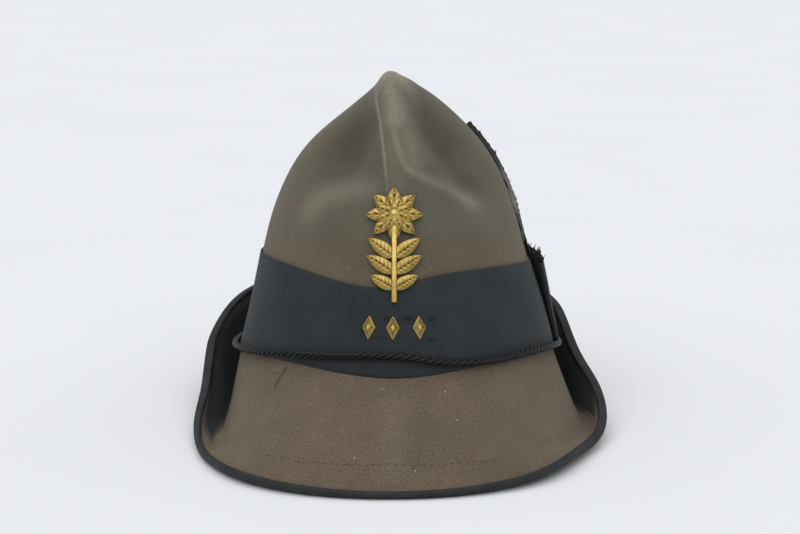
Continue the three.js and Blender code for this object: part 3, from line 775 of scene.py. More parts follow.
# %% Band
BAND_FOLDS = [
    {"x": 19, "z": 70, "lean": 0.02, "width": 5.0, "tall": 30.0, "raise": 0.5},
    {"x": -24, "z": 72, "lean": 0.25, "width": 6.0, "tall": 22.0, "raise": 0.45},
    {"x": -38, "z": 57.8, "lean": -1.3, "width": 1.8, "tall": 3.0, "raise": 0.5},
    {"x": -50, "z": 62, "lean": 0.15, "width": 6.0, "tall": 26.0, "raise": 0.5},
    {"x": 44, "z": 66, "lean": -0.1, "width": 7.0, "tall": 26.0, "raise": 0.4},
]
# Spots of painted shade beside the studs, seen from the front: pin holes and the studs' shadows
PIN_SHADES = [
    {"x": 5.2, "z": 69, "wide": 3.4, "tall": 1.3, "dark": 0.95},
    {"x": 16.4, "z": 68.5, "wide": 1.6, "tall": 1.3, "dark": 0.85},
    {"x": 16.2, "z": 59.4, "wide": 1.7, "tall": 0.8, "dark": 0.85},
    {"x": -15.6, "z": 63.4, "wide": 1.1, "tall": 2.4, "dark": 0.85},
    {"x": -5.2, "z": 69.2, "wide": 1.6, "tall": 1.5, "dark": 0.75},
    {"x": -9.3, "z": 60.3, "wide": 3.0, "tall": 0.6, "dark": 0.6},
]
PIN_SHADE_CUTS = 3
PIN_SHADE_EDGE = 8
BAND_RADIUS = 84 * MM
CUT_EDGE = 60

bm = rounded(cells_of("hat_band"), 2, CUT_EDGE)
split_near(bm, lambda middle: any(off_spot(middle, row) < PIN_SHADE_EDGE for row in PIN_SHADES), PIN_SHADE_CUTS)
pin_shade_layer = bm.verts.layers.float.new("pin_shade")
for vert in bm.verts:
    if vert.co.y > CROWN_AXIS.y:
        continue
    if facing_front(vert.co) > 0:
        # Painted shade of pin holes and of the studs' shadows
        vert[pin_shade_layer] = max(row["dark"] * math.exp(-off_spot(vert.co, row)) for row in PIN_SHADES)
    outward = vert.co - CROWN_AXIS
    outward.z = 0
    outward.normalize()
    lift = 0
    for row in BAND_FOLDS:
        along = vert.co.z / MM - row["z"]
        apart = (vert.co.x - CROWN_AXIS.x) / MM - row["x"] - row["lean"] * along
        lift += row["raise"] * bell(apart / row["width"]) * bell(along / row["tall"])
    vert.co += outward * lift * MM
map_round(bm, BAND_RADIUS)
band = make_piece(bm, "cloth_band", band_cloth)
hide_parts("hat_band")
print("band cloth", round(cloth_area(band) / MM**2), "square mm")

# %% [markdown]
# ## Twisted cord
# The cord round the foot of the band is laid from three strands of a smooth dark yarn. The solid is a
# plain tube. Its rings give the cord's line again: sorted by their angle round the crown, each six
# corners are one ring. Three curves then wind round that line, and a curve with a round section is the
# quickest way to make yarn.

# %% Yarn material
YARN_PITCH = 0.5 * MM
YARN_DEPTH = 0.2 * MM

yarn, tree, place = start_material("black_rayon_yarn")
# Spun rayon: smooth, so each strand carries a soft streak of light
plies = add_node(tree, "TexNoise", {"Vector": place, "Scale": 1 / YARN_PITCH, "Detail": 2.0})
tone = add_node(
    tree, "Mix", {FACTOR: plies, COLOUR_A: linear("#090a0b"), COLOUR_B: linear("#131517")}, data_type="RGBA"
)
bump = add_node(tree, "Bump", {"Height": plies, "Strength": 0.4, "Distance": YARN_DEPTH})
shader = add_node(
    tree,
    "BsdfPrincipled",
    {"Base Color": tone, "Roughness": 0.34, "Specular IOR Level": 0.25, "Normal": bump},
)
add_node(tree, "OutputMaterial", {"Surface": shader})
print("yarn ready")

# %% Line of the cord
RING_CORNERS = 6
CORD_STEPS = 16
RING_SHIFT = math.radians(2)


def ring_order(place):
    """Angle round the crown that starts between two rings, so that sorting by it splits none."""
    return (round_angle(place) + RING_SHIFT) % (2 * math.pi)


def round_curve(name, radius):
    """An empty curve with a round section."""
    curve = bpy.data.curves.new(name, "CURVE")
    curve.dimensions = "3D"
    curve.bevel_depth = radius
    curve.bevel_resolution = 2
    return curve


def tube_of(curve):
    """The mesh of a curve with a round section."""
    draft = bpy.data.objects.new("draft", curve)
    scene.collection.objects.link(draft)
    graph = bpy.context.evaluated_depsgraph_get()
    mesh = bpy.data.meshes.new_from_object(draft.evaluated_get(graph))
    bm = bmesh.new()
    bm.from_mesh(mesh)
    bpy.data.objects.remove(draft)
    bpy.data.meshes.remove(mesh)
    bmesh.ops.recalc_face_normals(bm, faces=bm.faces)
    return bm


bm = cells_of("twisted_cord")
corners = sorted((vert.co.copy() for vert in bm.verts), key=ring_order)
bm.free()
rings = [corners[at : at + RING_CORNERS] for at in range(0, len(corners), RING_CORNERS)]
middles = [sum(ring, Vector()) / RING_CORNERS for ring in rings]
line = through([middles[-1], *middles, middles[0], middles[1]], CORD_STEPS)[CORD_STEPS:-CORD_STEPS]
lengths = [0.0]
for at in range(1, len(line)):
    lengths.append(lengths[-1] + (line[at] - line[at - 1]).length)
print("cord", round(lengths[-1] / MM), "mm long")

# %% Cord
STRANDS = 3
STRAND_LAY = 11.8 * MM
STRAND_RADIUS = 0.88 * MM
STRAND_OFFSET = 0.9 * MM
STEPS_PER_TURN = 12

turns = round(lengths[-1] / STRAND_LAY)
cord_data = round_curve("twist", STRAND_RADIUS)
steps = turns * STEPS_PER_TURN
for strand in range(STRANDS):
    spline = cord_data.splines.new("POLY")
    spline.points.add(steps - 1)
    spline.use_cyclic_u = True
    at = 0
    for step in range(steps):
        reach = lengths[-1] * step / steps
        while lengths[at + 1] < reach:
            at += 1
        share = (reach - lengths[at]) / (lengths[at + 1] - lengths[at])
        middle = line[at].lerp(line[at + 1], share)
        ahead = (line[at + 1] - line[at]).normalized()
        outward = ahead.cross(Vector((0, 0, 1))).normalized()
        upward = outward.cross(ahead)
        turn = 2 * math.pi * (step / STEPS_PER_TURN + strand / STRANDS)
        place = middle + (outward * math.cos(turn) + upward * math.sin(turn)) * STRAND_OFFSET
        spline.points[step].co = (*place, 1)
bm = tube_of(cord_data)
cord = make_piece(bm, "cord_of_three_strands", yarn)
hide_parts("twisted_cord")
print("cord laid with", turns, "turns")

# %% [markdown]
# ## Brim binding
# A narrow ribbon is folded over the edge of the brim and sewn through. Ribbon of this kind is ribbed
# across its width, so its map runs round the brim and the ribs follow from one wave. The solid is a
# little wider than the ribbon. Its corners come in rings of ten. The two corners of the felt nearest to
# a ring lie on the edge that it is folded over, and the next two tell which way is outward there, so the
# ring can be drawn in to the edge. Laid flat, the ribbon is 7 mm wide, and its area is printed. A sheet
# can't be declared under 10 mm, so its true area is given as well.

# %% Ribbon material
RIB_PITCH = 1.1 * MM
RIB_DEPTH = 0.15 * MM
WEAR_SIZE = 14 * MM

ribbon, tree, place = start_material("black_grosgrain_ribbon")
# Ribbed silk ribbon, drawn coarser than its real half millimetre: dull black, worn to grey in places
run = add_node(tree, "UVMap", uv_map="weave")
along = add_node(tree, "SeparateXYZ", {"Vector": run}).outputs["X"]
turn = add_node(tree, "Math", {0: along, 1: 2 * math.pi / RIB_PITCH}, operation="MULTIPLY")
ribs = add_node(tree, "Math", {0: turn}, operation="SINE")
wear = add_node(
    tree, "TexNoise", {"Vector": place, "Scale": 1 / WEAR_SIZE, "Detail": 5.0, "Roughness": 0.65}
)
blend = add_node(tree, "MapRange", {"Value": wear, "From Min": 0.35, "From Max": 0.7})
tone = add_node(
    tree, "Mix", {FACTOR: blend, COLOUR_A: linear("#212426"), COLOUR_B: linear("#303233")}, data_type="RGBA"
)
bump = add_node(tree, "Bump", {"Height": ribs, "Strength": 0.3, "Distance": RIB_DEPTH})
shader = add_node(
    tree,
    "BsdfPrincipled",
    {"Base Color": tone, "Roughness": 0.7, "Specular IOR Level": 0.25, "Normal": bump},
)
add_node(tree, "OutputMaterial", {"Surface": shader})
print("rib pitch", RIB_PITCH / MM, "mm")

# %% Binding
BRIM_RADIUS = 115 * MM
BINDING_CORNERS = 10
RIBBON_SHARE = 0.56

bm = cells_of("felt_body")
felt_places = KDTree(len(bm.verts))
for vert in bm.verts:
    felt_places.insert(vert.co, vert.index)
felt_places.balance()
bm.free()
bm = cells_of("brim_binding")
corners = sorted(bm.verts, key=lambda vert: ring_order(vert.co))
for at in range(0, len(corners), BINDING_CORNERS):
    ring = corners[at : at + BINDING_CORNERS]
    middle = sum((vert.co for vert in ring), Vector()) / BINDING_CORNERS
    near = [found[0] for found in felt_places.find_n(middle, 4)]
    edge = (near[0] + near[1]) / 2
    outward = (edge - (near[2] + near[3]) / 2).normalized()
    for vert in ring:
        vert.co += outward * (edge - vert.co).dot(outward) * (1 - RIBBON_SHARE)
bm = rounded(bm, 2)
map_round(bm, BRIM_RADIUS)
binding = make_piece(bm, "ribbon_binding", ribbon)
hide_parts("brim_binding")
print("binding ribbon", round(cloth_area(binding) / MM**2), "square mm")

# %% [markdown]
# ## Facing
# Inside the turned-up brim lies a dark cloth, from the fold up to the binding. It is glued flat to the
# felt, so its two front ends are pressed into it here. There the brim is handled, and the cloth is worn
# through to the brown of the felt along the fold and along the binding, so that the black runs out to a
# point. That point of black stands partly for the shade in the groove, so it is partly painted shade.
# Each row gives a place on the edge of a worn part, the direction of its worn side, and how far forward
# of the crown's upright line the wear starts.

# %% Facing
# The black left between the worn parts, at the front ends, is partly painted shade of the groove
WORN_ENDS = [
    {"place": cap_place(97, -2, 4.6), "toward": Vector((-0.745, -0.1, -0.66)), "start": -2},
    {"place": cap_place(100, -32, 12.5), "toward": Vector((0.4, -0.45, 0.8)), "start": -14},
    {"place": cap_place(-89.7, -32.7, 2.9), "toward": Vector((0.922, -0.045, -0.387)), "start": -32.7},
    {"place": cap_place(-92.8, -64, 6.2), "toward": Vector((-0.537, -0.28, 0.764)), "start": -38},
]
WORN_BLUR = 3 * MM
WORN_RUN = 20 * MM
END_ANGLES = (48.5, 57)
END_DEPTH = 0.3 * MM

bm = rounded(cells_of("brim_facing"), 2, CUT_EDGE)
worn_layer = bm.verts.layers.float.new("worn")
for vert in bm.verts:
    angle = math.degrees(abs(round_angle(vert.co)))
    at_end = clamped((END_ANGLES[1] - angle) / (END_ANGLES[1] - END_ANGLES[0]))
    for row in WORN_ENDS:
        if (vert.co.x > 0) == (row["place"].x > 0):
            beyond = (vert.co - row["place"]).dot(row["toward"]) / WORN_BLUR
            ahead = (cap_place(0, row["start"], 0).y - vert.co.y) / WORN_RUN
            worn = clamped(beyond + 0.5) * clamped(ahead)
            vert[worn_layer] = max(vert[worn_layer], worn)
    on_felt, felt_out, _, _ = felt_skin.find_nearest(vert.co)
    vert.co = vert.co.lerp(on_felt - felt_out * END_DEPTH, max(at_end**2, vert[worn_layer]))
map_round(bm, BRIM_RADIUS)
facing = make_piece(bm, "cloth_facing", facing_cloth)
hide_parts("brim_facing")
print("facing cloth", round(cloth_area(facing) / MM**2), "square mm")

# %% [markdown]
# ## Loop
# On the wearer's left the end of the band is folded into a flat loop, which holds the feather's quill.
# The solid has no rows between its edges, so its upright edges are split first, and the cloth is then
# made a little uneven, as folded cloth is. The cut edge at its top has come undone into short threads.

# %% Loop
LOOP_ROWS = 7
UPRIGHT_LENGTH = 30 * MM
CRUMPLE = 0.5 * MM
CRUMPLE_SIZE = 14 * MM

bm = cells_of("band_loop")
upright = [edge for edge in bm.edges if edge.calc_length() > UPRIGHT_LENGTH]
bmesh.ops.subdivide_edges(bm, edges=upright, cuts=LOOP_ROWS, use_grid_fill=True)
for vert in bm.verts:
    vert.co.x += noise.noise(vert.co / CRUMPLE_SIZE) * CRUMPLE
bm = rounded(bm, 2, CUT_EDGE)
map_round(bm, BAND_RADIUS)
loop = make_piece(bm, "cloth_loop", loop_cloth)
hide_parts("band_loop")
print("loop cloth", round(cloth_area(loop) / MM**2), "square mm")

# %% Frayed threads of the loop
FRAY = {"threads": 80, "shortest": 1.0 * MM, "longest": 3.4 * MM, "lean": 0.5, "standing": 0.4}
FRAY_THREAD = {"radius": 0.32 * MM, "taper": 0.4, "sides": 5}
RIM_UPWARD = 0.6

chance = random.Random(7)
bm = bmesh.new()
rim = [vert.co for vert in loop.data.vertices if vert.normal.z > RIM_UPWARD]
for _ in range(FRAY["threads"]):
    length = chance.uniform(FRAY["shortest"], FRAY["longest"])
    aside = [chance.uniform(-FRAY["lean"], FRAY["lean"]) for _ in ("x", "y")]
    lean = Vector((*aside, 1)).normalized()
    lay_thread(bm, chance.choice(rim) + lean * length * FRAY["standing"], lean, length, FRAY_THREAD)
fray = make_piece(bm, "loop_fray", yarn)
print(FRAY["threads"], "loose threads")

# %% [markdown]
# ## Feather
# A dark feather lies up the side of the crown, with its quill in the loop. A feather is a shaft with a
# row of barbs on each side, which slant to the tip and part here and there, so its edge is ragged. A
# flat outline with a painted picture would do from far off, but seen edge-on, as here, only real barbs
# give that edge. The solid's corners come in ten rows from tip to quill with five places across, and
# they carry the vane's shape. The vane is pressed down by a share of its thickness at each row, most of
# all at its tip. Towards their ends the barbs are laid down on the felt, as a feather under a band
# clings to the crown, and a strip under the shaft stands for the down that fills the room between. A row
# of short ruffled barbs stands up along the shaft. The dye has faded to grey in the middle of the
# feather, and a value on the mesh says where.

# %% Feather material
STREAK_SIZE = 2.2 * MM
FADE_SIZE = 19 * MM

quill, tree, place = start_material("black_dyed_feather")
# Keratin barbs dyed black: streaky, a little glossy along the barbs, and grey where the dye has faded
streak = add_node(
    tree, "TexNoise", {"Vector": place, "Scale": 1 / STREAK_SIZE, "Detail": 3.0, "Roughness": 0.7}
)
fading = add_node(tree, "TexNoise", {"Vector": place, "Scale": 1 / FADE_SIZE, "Detail": 1.0})
mixed = add_node(tree, "Math", {0: streak, 1: 0.5, 2: fading}, operation="MULTIPLY_ADD")
blend = add_node(tree, "MapRange", {"Value": mixed, "From Min": 0.6, "From Max": 1.05})
tone = add_node(
    tree, "Mix", {FACTOR: blend, COLOUR_A: linear("#0b0c0c"), COLOUR_B: linear("#272827")}, data_type="RGBA"
)
faded = add_node(tree, "Attribute", attribute_name="faded").outputs["Fac"]
greyed = add_node(
    tree, "Mix", {FACTOR: faded, COLOUR_A: tone, COLOUR_B: linear("#6a6963")}, data_type="RGBA"
)
shader = add_node(
    tree,
    "BsdfPrincipled",
    {"Base Color": greyed, "Roughness": 0.55, "Specular IOR Level": 0.3, "Sheen Weight": 0.05},
)
add_node(tree, "OutputMaterial", {"Surface": shader})
print("feather material ready")

# %% Lines of the vane
LINES_ACROSS = 5
SHAFT_LINE = LINES_ACROSS // 2
VANE_STEPS = 10
SHORT_OF_END = 0.001
# How far the vane is pressed down at each row from tip to quill, as a share of the solid's thickness
VANE_SINKS = (0.5, 0.5, 0.25, 0.15, 0.05, 0.05, 0.3, 0.25, 0.2, 0.0)

bm = cells_of("feather")
corners = sorted((vert.co.copy() for vert in bm.verts), key=lambda corner: -corner.z)
bm.free()
outer_rows = []
inner_rows = []
for at in range(0, len(corners), 2 * LINES_ACROSS):
    row = sorted(corners[at : at + 2 * LINES_ACROSS], key=lambda corner: corner.y)
    pairs = [sorted(row[two : two + 2], key=lambda corner: corner.x) for two in range(0, len(row), 2)]
    inner_rows.append([pair[0] for pair in pairs])
    outer_rows.append([pair[1] for pair in pairs])
vane_lines = [through([row[line] for row in outer_rows], VANE_STEPS) for line in range(LINES_ACROSS)]
under_line = through([row[SHAFT_LINE] for row in inner_rows], VANE_STEPS)
last_step = len(under_line) - 1


def sink_at(step):
    """Share of its thickness by which the vane is pressed down, so many steps from the tip."""
    row = min(int(step / VANE_STEPS), len(VANE_SINKS) - 2)
    return VANE_SINKS[row] + (VANE_SINKS[row + 1] - VANE_SINKS[row]) * (step / VANE_STEPS - row)


upper_line = vane_lines[SHAFT_LINE]
sinks = [(under_line[step] - upper_line[step]) * sink_at(step) for step in range(last_step + 1)]
vane_lines = [[place + sink for place, sink in zip(line, sinks)] for line in vane_lines]


def on_vane(down, across):
    """Place on the vane: steps down from the tip, and from -1 at the front edge to 1 at the back edge."""
    down = min(max(down, 0), last_step - SHORT_OF_END)
    step = int(down)
    column = min(max((across + 1) * (LINES_ACROSS - 1) / 2, 0), LINES_ACROSS - 1 - SHORT_OF_END)
    line = int(column)
    ends = []
    for beside in (line, line + 1):
        here, there = vane_lines[beside][step : step + 2]
        ends.append(here.lerp(there, down - step))
    return ends[0].lerp(ends[1], column - line)


print("feather", round(sum((b - a).length for a, b in zip(under_line, under_line[1:])) / MM), "mm long")

# %% Barbs
BARBS = 64
BARB_START = 3
BARB_STOP = 76
BARB_SLIP = 0.2
BARB_WIDTH = 1.7 * MM
BARB_POINT = 0.6
BARB_CELLS = 4
BARB_CLEAR = 0.1 * MM
BARB_LAID = {-1: 1.0, 1: 0.6}
CLUMP_PITCH = 0.23
SLANT = {"mean": 0.8, "clump": 0.5}
LENGTH = {"mean": 0.92, "clump": 0.22, "slip": 0.08}
CURL = {"slip": 0.6, "clump": 2.0}


def down_to(at, count, slip):
    """Steps from the tip to one of a row of barbs, each a little out of its place."""
    return BARB_START + (BARB_STOP - BARB_START) * (at + chance.uniform(-slip, slip)) / (count - 1)


def step_at(down):
    """The last whole step above a place on the vane."""
    return min(max(int(down), 0), last_step - 1)


chance = random.Random(11)
bm = bmesh.new()
for side in (-1, 1):
    for barb in range(BARBS):
        down = down_to(barb, BARBS, BARB_SLIP)
        step = step_at(down)
        pitch = (under_line[step + 1] - under_line[step]).length
        outward = (vane_lines[SHAFT_LINE][step] - under_line[step]).normalized()
        reach = (on_vane(down, side) - on_vane(down, 0)).length
        clump = noise.noise(Vector((barb * CLUMP_PITCH, side, 0)))
        slant = (SLANT["mean"] + SLANT["clump"] * clump) * reach / pitch
        slip = chance.uniform(-LENGTH["slip"], LENGTH["slip"])
        length = min(LENGTH["mean"] + LENGTH["clump"] * clump + slip, 1.0)
        curl = chance.uniform(0.0, CURL["slip"]) + CURL["clump"] * max(clump, 0)
        curl *= (1 - sink_at(step)) * MM
        strip = bmesh.ops.create_grid(bm, x_segments=1, y_segments=BARB_CELLS, size=0.5)["verts"]
        for vert in strip:
            share = vert.co.y + 0.5
            aside = vert.co.x * (1 - BARB_POINT * share) * BARB_WIDTH / pitch
            place = on_vane(down - slant * share + aside, side * share * length)
            on_felt, felt_out, _, _ = felt_skin.find_nearest(place)
            laid = place.lerp(on_felt + felt_out * BARB_CLEAR, BARB_LAID[side] * share)
            vert.co = laid + outward * curl * share**2
        for face in {face for vert in strip for face in vert.link_faces}:
            face.normal_update()
            if face.normal.dot(outward) < 0:
                face.normal_flip()
print(2 * BARBS, "barbs")

# %% Down and ruffles
DOWN_STOP = 82
RUFFLES = 90
RUFFLE_REACH = 1.7 * MM
RUFFLE_SLIP = 0.4
RUFFLE_PITCH = 0.31
RUFFLE_ROW = 5
RUFFLE_WILD = (0.6, 1.6)
RUFFLE_LEAST = 0.15
RUFFLE_FALL = {"tip": 1.1, "loss": 0.8}
RUFFLE_POINT = 0.7
RUFFLE_LEAN = 0.9

down_strip = bmesh.ops.create_grid(bm, x_segments=DOWN_STOP, y_segments=2, size=0.5)["verts"]
for vert in down_strip:
    share = vert.co.y + 0.5
    place = on_vane((vert.co.x + 0.5) * DOWN_STOP, 0)
    on_felt, felt_out, _, _ = felt_skin.find_nearest(place)
    vert.co = place.lerp(on_felt - felt_out * BARB_CLEAR, share)
for ruffle in range(RUFFLES):
    down = down_to(ruffle, RUFFLES, RUFFLE_SLIP)
    step = step_at(down)
    ahead = (under_line[step] - under_line[step + 1]).normalized()
    outward = (vane_lines[SHAFT_LINE][step] - under_line[step]).normalized()
    clump = noise.noise(Vector((ruffle * RUFFLE_PITCH, RUFFLE_ROW, 0)))
    wild = abs(clump) * chance.uniform(*RUFFLE_WILD)
    fall = RUFFLE_FALL["tip"] - RUFFLE_FALL["loss"] * ruffle / RUFFLES
    reach = RUFFLE_REACH * (RUFFLE_LEAST + wild) * fall * (1 - sink_at(step))
    strip = bmesh.ops.create_grid(bm, x_segments=1, y_segments=2, size=0.5)["verts"]
    for vert in strip:
        share = vert.co.y + 0.5
        root = on_vane(down, 0) + ahead * vert.co.x * BARB_WIDTH * (1 - RUFFLE_POINT * share)
        vert.co = root + (outward + ahead * RUFFLE_LEAN) * reach * share
print(RUFFLES, "ruffles")

# %% Feather with its faded stretch
BARB_THICK = 0.14 * MM
FADED_STRETCH = {"height": 116 * MM, "reach": 11.5 * MM}
STRETCH_EDGE = 6

bmesh.ops.solidify(bm, geom=bm.faces[:], thickness=BARB_THICK)
faded_layer = bm.verts.layers.float.new("faded")
for vert in bm.verts:
    off_stretch = (vert.co.z - FADED_STRETCH["height"]) / FADED_STRETCH["reach"]
    vert[faded_layer] = math.exp(-(off_stretch**STRETCH_EDGE))
barbs = make_piece(bm, "feather_barbs", quill, smooth=False)
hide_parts("feather")
print("barbs have", len(barbs.data.polygons), "cells")

# %% Shaft of the feather
SHAFT = {"radius": 0.75 * MM, "sunk": 0.45, "tip": 0.25}

shaft_data = round_curve("shaft", SHAFT["radius"])
shaft_data.use_fill_caps = True
spline = shaft_data.splines.new("POLY")
spline.points.add(last_step - BARB_START)
for point, step in zip(spline.points, range(BARB_START, last_step + 1)):
    point.co = (*vane_lines[SHAFT_LINE][step].lerp(under_line[step], SHAFT["sunk"]), 1)
    point.radius = SHAFT["tip"] + (1 - SHAFT["tip"]) * step / last_step
shaft = make_piece(tube_of(shaft_data), "feather_shaft", quill)
print("shaft", 2 * SHAFT["radius"] / MM, "mm thick at the quill")

# %% [markdown]
# ## Brass
# The badge and the studs are pressed from thin brass sheet. Brass starts out golden, and its hollows go
# brown as they tarnish while the raised parts stay rubbed and bright. A value stored on the mesh says
# how deep a place lies.

# %% Brass material
STAIN_SIZE = 5 * MM
GRAIN_SIZE = 0.5 * MM
GRAIN_DEPTH = 0.1 * MM

brass, tree, place = start_material("pressed_brass")
# Pressed sheet, rubbed by hand: soft bright highlights on the raised parts, dull brown in the hollows
stain = add_node(
    tree, "TexNoise", {"Vector": place, "Scale": 1 / STAIN_SIZE, "Detail": 4.0, "Roughness": 0.65}
)
grain = add_node(tree, "TexNoise", {"Vector": place, "Scale": 1 / GRAIN_SIZE, "Detail": 1.0})
depth = add_node(tree, "Attribute", attribute_name="recess").outputs["Fac"]
staining = add_node(tree, "MapRange", {"Value": stain, "From Min": 0.45, "From Max": 0.75, "To Max": 0.3})
dark = add_node(tree, "Math", {0: depth, 1: staining}, operation="ADD", use_clamp=True)
tone = add_node(
    tree, "Mix", {FACTOR: dark, COLOUR_A: linear("#c2a75f"), COLOUR_B: linear("#3f3217")}, data_type="RGBA"
)
gloss = add_node(tree, "MapRange", {"Value": dark, "To Min": 0.32, "To Max": 0.6})
bump = add_node(tree, "Bump", {"Height": grain, "Strength": 0.12, "Distance": GRAIN_DEPTH})
shader = add_node(
    tree, "BsdfPrincipled", {"Base Color": tone, "Metallic": 1.0, "Roughness": gloss, "Normal": bump}
)
add_node(tree, "OutputMaterial", {"Surface": shader})
print("brass ready")

# %% [markdown]
# ## Badge
# The badge is a plain ornament of this lesson's own: a blossom of two rings of petals over a sprig of
# six leaves. Each leaf is a small grid, drawn in to a leaf's outline, arched, and pressed with a midrib
# and side veins. Its rim is then drawn down to the back. The whole is made flat, bent to the crown's
# curve, and stood where the solid stands: the solid's lowest corners are the foot of the stem, and its
# highest are the tip of the upper petal.

# %% One leaf of the badge
LEAF_CELLS = (8, 26)
LEAF_OUTLINE = 0.75
LEAF_TIP = 0.05
PLATE = 1.1
ARCH = {"height": 0.8, "ends": 0.4}
VEIN = {"height": 0.16, "slant": 1.1}
MIDRIB = {"width": 0.16, "depth": 0.3}
TARNISH = {"veins": 0.3, "midrib": 0.55, "rim": 0.35}

badge_bm = bmesh.new()
recess = badge_bm.verts.layers.float.new("recess")


def press_leaf(length, width, turn, y, lift, veins):
    """One veined leaf in the flat badge, in millimetres, pointing up and then turned about its foot."""
    strip = bmesh.ops.create_grid(
        badge_bm, x_segments=LEAF_CELLS[0], y_segments=LEAF_CELLS[1], size=0.5
    )["verts"]
    edges = {edge for vert in strip for edge in vert.link_edges}
    for vert in strip:
        across, along = 2 * vert.co.x, vert.co.y + 0.5
        outline = max(math.sin(math.pi * along**LEAF_OUTLINE), 0) ** LEAF_OUTLINE
        middle = bell(across / MIDRIB["width"])
        wave = math.cos(2 * math.pi * (veins * along - VEIN["slant"] * abs(across)))
        flat = 1 - abs(across) ** 3
        bulge = ARCH["ends"] + (1 - ARCH["ends"]) * math.sin(math.pi * along)
        height = PLATE + lift + ARCH["height"] * (1 - across**2) * bulge
        vert.co = (
            across * max(outline, LEAF_TIP) * width / 2,
            along * length,
            height + VEIN["height"] * wave * flat - MIDRIB["depth"] * middle,
        )
        worn_off = TARNISH["veins"] * (1 - wave) * flat
        vert[recess] = min(worn_off + TARNISH["midrib"] * middle + TARNISH["rim"] * abs(across) ** 6, 1)
    rim = [edge for edge in edges if edge.is_boundary]
    drawn = bmesh.ops.extrude_edge_only(badge_bm, edges=rim)["geom"]
    back = [part for part in drawn if isinstance(part, bmesh.types.BMVert)]
    for vert in back:
        vert.co.z = lift
        vert[recess] = 1.0
    bmesh.ops.holes_fill(badge_bm, edges=[part for part in drawn if isinstance(part, bmesh.types.BMEdge)])
    place = Matrix.Translation((0, y, 0)) @ Matrix.Rotation(math.radians(turn), 4, "Z")
    bmesh.ops.transform(badge_bm, matrix=place, verts=strip + back)


print("a leaf is a grid of", LEAF_CELLS[0] * LEAF_CELLS[1], "cells")

# %% Leaves, petals and stem
STEM = {"foot": -28, "head": 13, "wide": 2.6, "thick": 1.9, "rounding": 0.6}
SPRIG = [
    {"y": -6, "length": 15.5, "width": 6.6, "turn": 52},
    {"y": -13.5, "length": 15.5, "width": 6.6, "turn": 56},
    {"y": -21, "length": 13, "width": 6, "turn": 60},
]
LEAF_VEINS = 7
BLOSSOM_Y = 15
PETAL_RINGS = [
    {"length": 13.6, "width": 7.2, "turn": 0, "lift": 0.0},
    {"length": 9, "width": 5.4, "turn": 22.5, "lift": 0.7},
]
PETALS = 8
PETAL_VEINS = 4

for leaf in SPRIG:
    for side in (-1, 1):
        press_leaf(leaf["length"], leaf["width"], side * leaf["turn"], leaf["y"], 0, LEAF_VEINS)
for ring in PETAL_RINGS:
    for petal in range(PETALS):
        turn = ring["turn"] + 360 * petal / PETALS
        press_leaf(ring["length"], ring["width"], turn, BLOSSOM_Y, ring["lift"], PETAL_VEINS)
size = Matrix.Diagonal((STEM["wide"], STEM["head"] - STEM["foot"], STEM["thick"], 1))
middle = Matrix.Translation((0, (STEM["head"] + STEM["foot"]) / 2, STEM["thick"] / 2))
bar = bmesh.ops.create_cube(badge_bm, size=1, matrix=middle @ size)["verts"]
bar_edges = list({edge for vert in bar for edge in vert.link_edges})
bmesh.ops.bevel(
    badge_bm,
    geom=bar_edges,
    offset=STEM["rounding"],
    segments=3,
    profile=0.5,
    affect="EDGES",
    material=-1,
)
print("badge cells", len(badge_bm.faces))

# %% Eye of the blossom
EYE = {"radius": 2.376, "flatness": 0.6, "height": 1.2}
BEADS = {"count": 10, "radius": 0.62, "ring": 3.3, "height": 2.2}

dome = Matrix.Translation((0, BLOSSOM_Y, EYE["height"])) @ Matrix.Diagonal((1, 1, EYE["flatness"], 1))
bmesh.ops.create_uvsphere(badge_bm, u_segments=20, v_segments=10, radius=EYE["radius"], matrix=dome)
for bead in range(BEADS["count"]):
    angle = 2 * math.pi * bead / BEADS["count"]
    x, y = BEADS["ring"] * math.cos(angle), BLOSSOM_Y + BEADS["ring"] * math.sin(angle)
    place = Matrix.Translation((x, y, BEADS["height"]))
    bmesh.ops.create_icosphere(badge_bm, subdivisions=2, radius=BEADS["radius"], matrix=place)
print("eye with", BEADS["count"], "beads")

# %% Badge bent to the crown
BEND = 56
FOOT_REACH = 0.8 * MM
HEAD_REACH = 0.4 * MM
SHARP_EDGE = math.radians(40)
TIP_Y = BLOSSOM_Y + PETAL_RINGS[0]["length"]

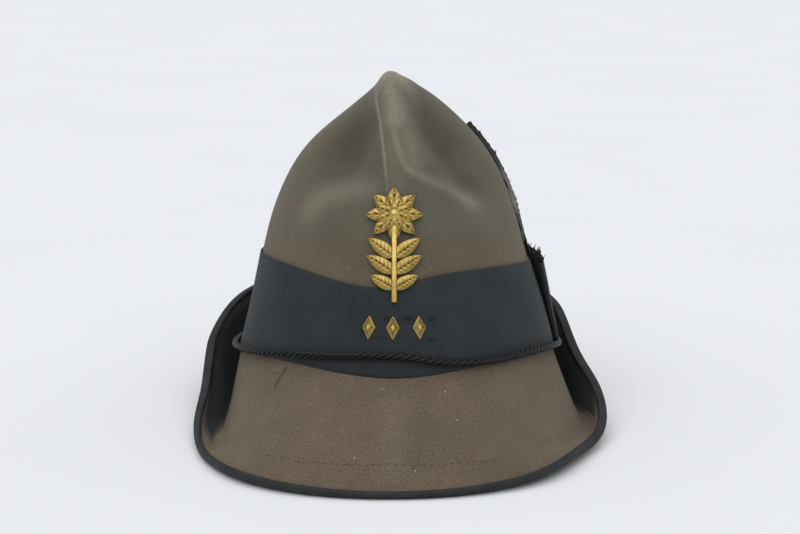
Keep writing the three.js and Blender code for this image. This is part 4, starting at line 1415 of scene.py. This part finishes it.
solid = cells_of("badge")
places = [vert.co.copy() for vert in solid.verts]
solid.free()
lowest = min(place.z for place in places)
highest = max(place.z for place in places)
feet = [place for place in places if place.z < lowest + FOOT_REACH]
heads = [place for place in places if place.z > highest - HEAD_REACH]
foot = sum(feet, Vector()) / len(feet)
head = sum(heads, Vector()) / len(heads)
upward = (head - foot).normalized()
upward.x = 0
upward.normalize()
outward = Vector((1, 0, 0)).cross(upward)
for vert in badge_bm.verts:
    angle = vert.co.x / BEND
    radius = BEND + vert.co.z
    bent = Vector((radius * math.sin(angle), vert.co.y, radius * math.cos(angle) - BEND))
    from_foot = upward * (bent.y - STEM["foot"]) + outward * (bent.z - PLATE)
    vert.co = foot + (Vector((bent.x, 0, 0)) + from_foot) * MM
bmesh.ops.recalc_face_normals(badge_bm, faces=badge_bm.faces)
badge = make_piece(badge_bm, "brass_badge", brass)
badge.data.set_sharp_from_angle(angle=SHARP_EDGE)
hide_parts("badge")
print("badge", round((head - foot).length / MM, 1), "mm high against", TIP_Y - STEM["foot"])

# %% [markdown]
# ## Studs
# Three small lozenge studs stand on the band below the badge. The solid has their slopes, so a copy of
# it gets sunk facets, and its edges are rounded by a bevel, as pressed sheet has no sharp edge.

# %% Studs
STUD_FACET = {"least": 4 * MM**2, "most": 14 * MM**2, "inset": 0.5 * MM, "sunk": 0.2 * MM, "tarnish": 0.25}
STUD_ROUNDING = 0.12 * MM
STUD_SHARP = math.radians(15)

for name in ("stud_left", "stud_middle", "stud_right"):
    bm = cells_of(name)
    recess = bm.verts.layers.float.new("recess")
    sides = []
    for face in bm.faces:
        if len(face.verts) == 4 and STUD_FACET["least"] < face.calc_area() < STUD_FACET["most"]:
            sides.append(face)
    bmesh.ops.inset_individual(bm, faces=sides, thickness=STUD_FACET["inset"], depth=-STUD_FACET["sunk"])
    for face in sides:
        for vert in face.verts:
            vert[recess] = STUD_FACET["tarnish"]
    edges = [edge for edge in bm.edges if edge.is_manifold and edge.calc_face_angle() > STUD_SHARP]
    bmesh.ops.bevel(
        bm, geom=edges, offset=STUD_ROUNDING, segments=2, profile=0.5, affect="EDGES", material=-1
    )
    stud = make_piece(bm, "brass_" + name, brass, smooth=False)
    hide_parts(name)
    print(name, len(sides), "sunk facets")
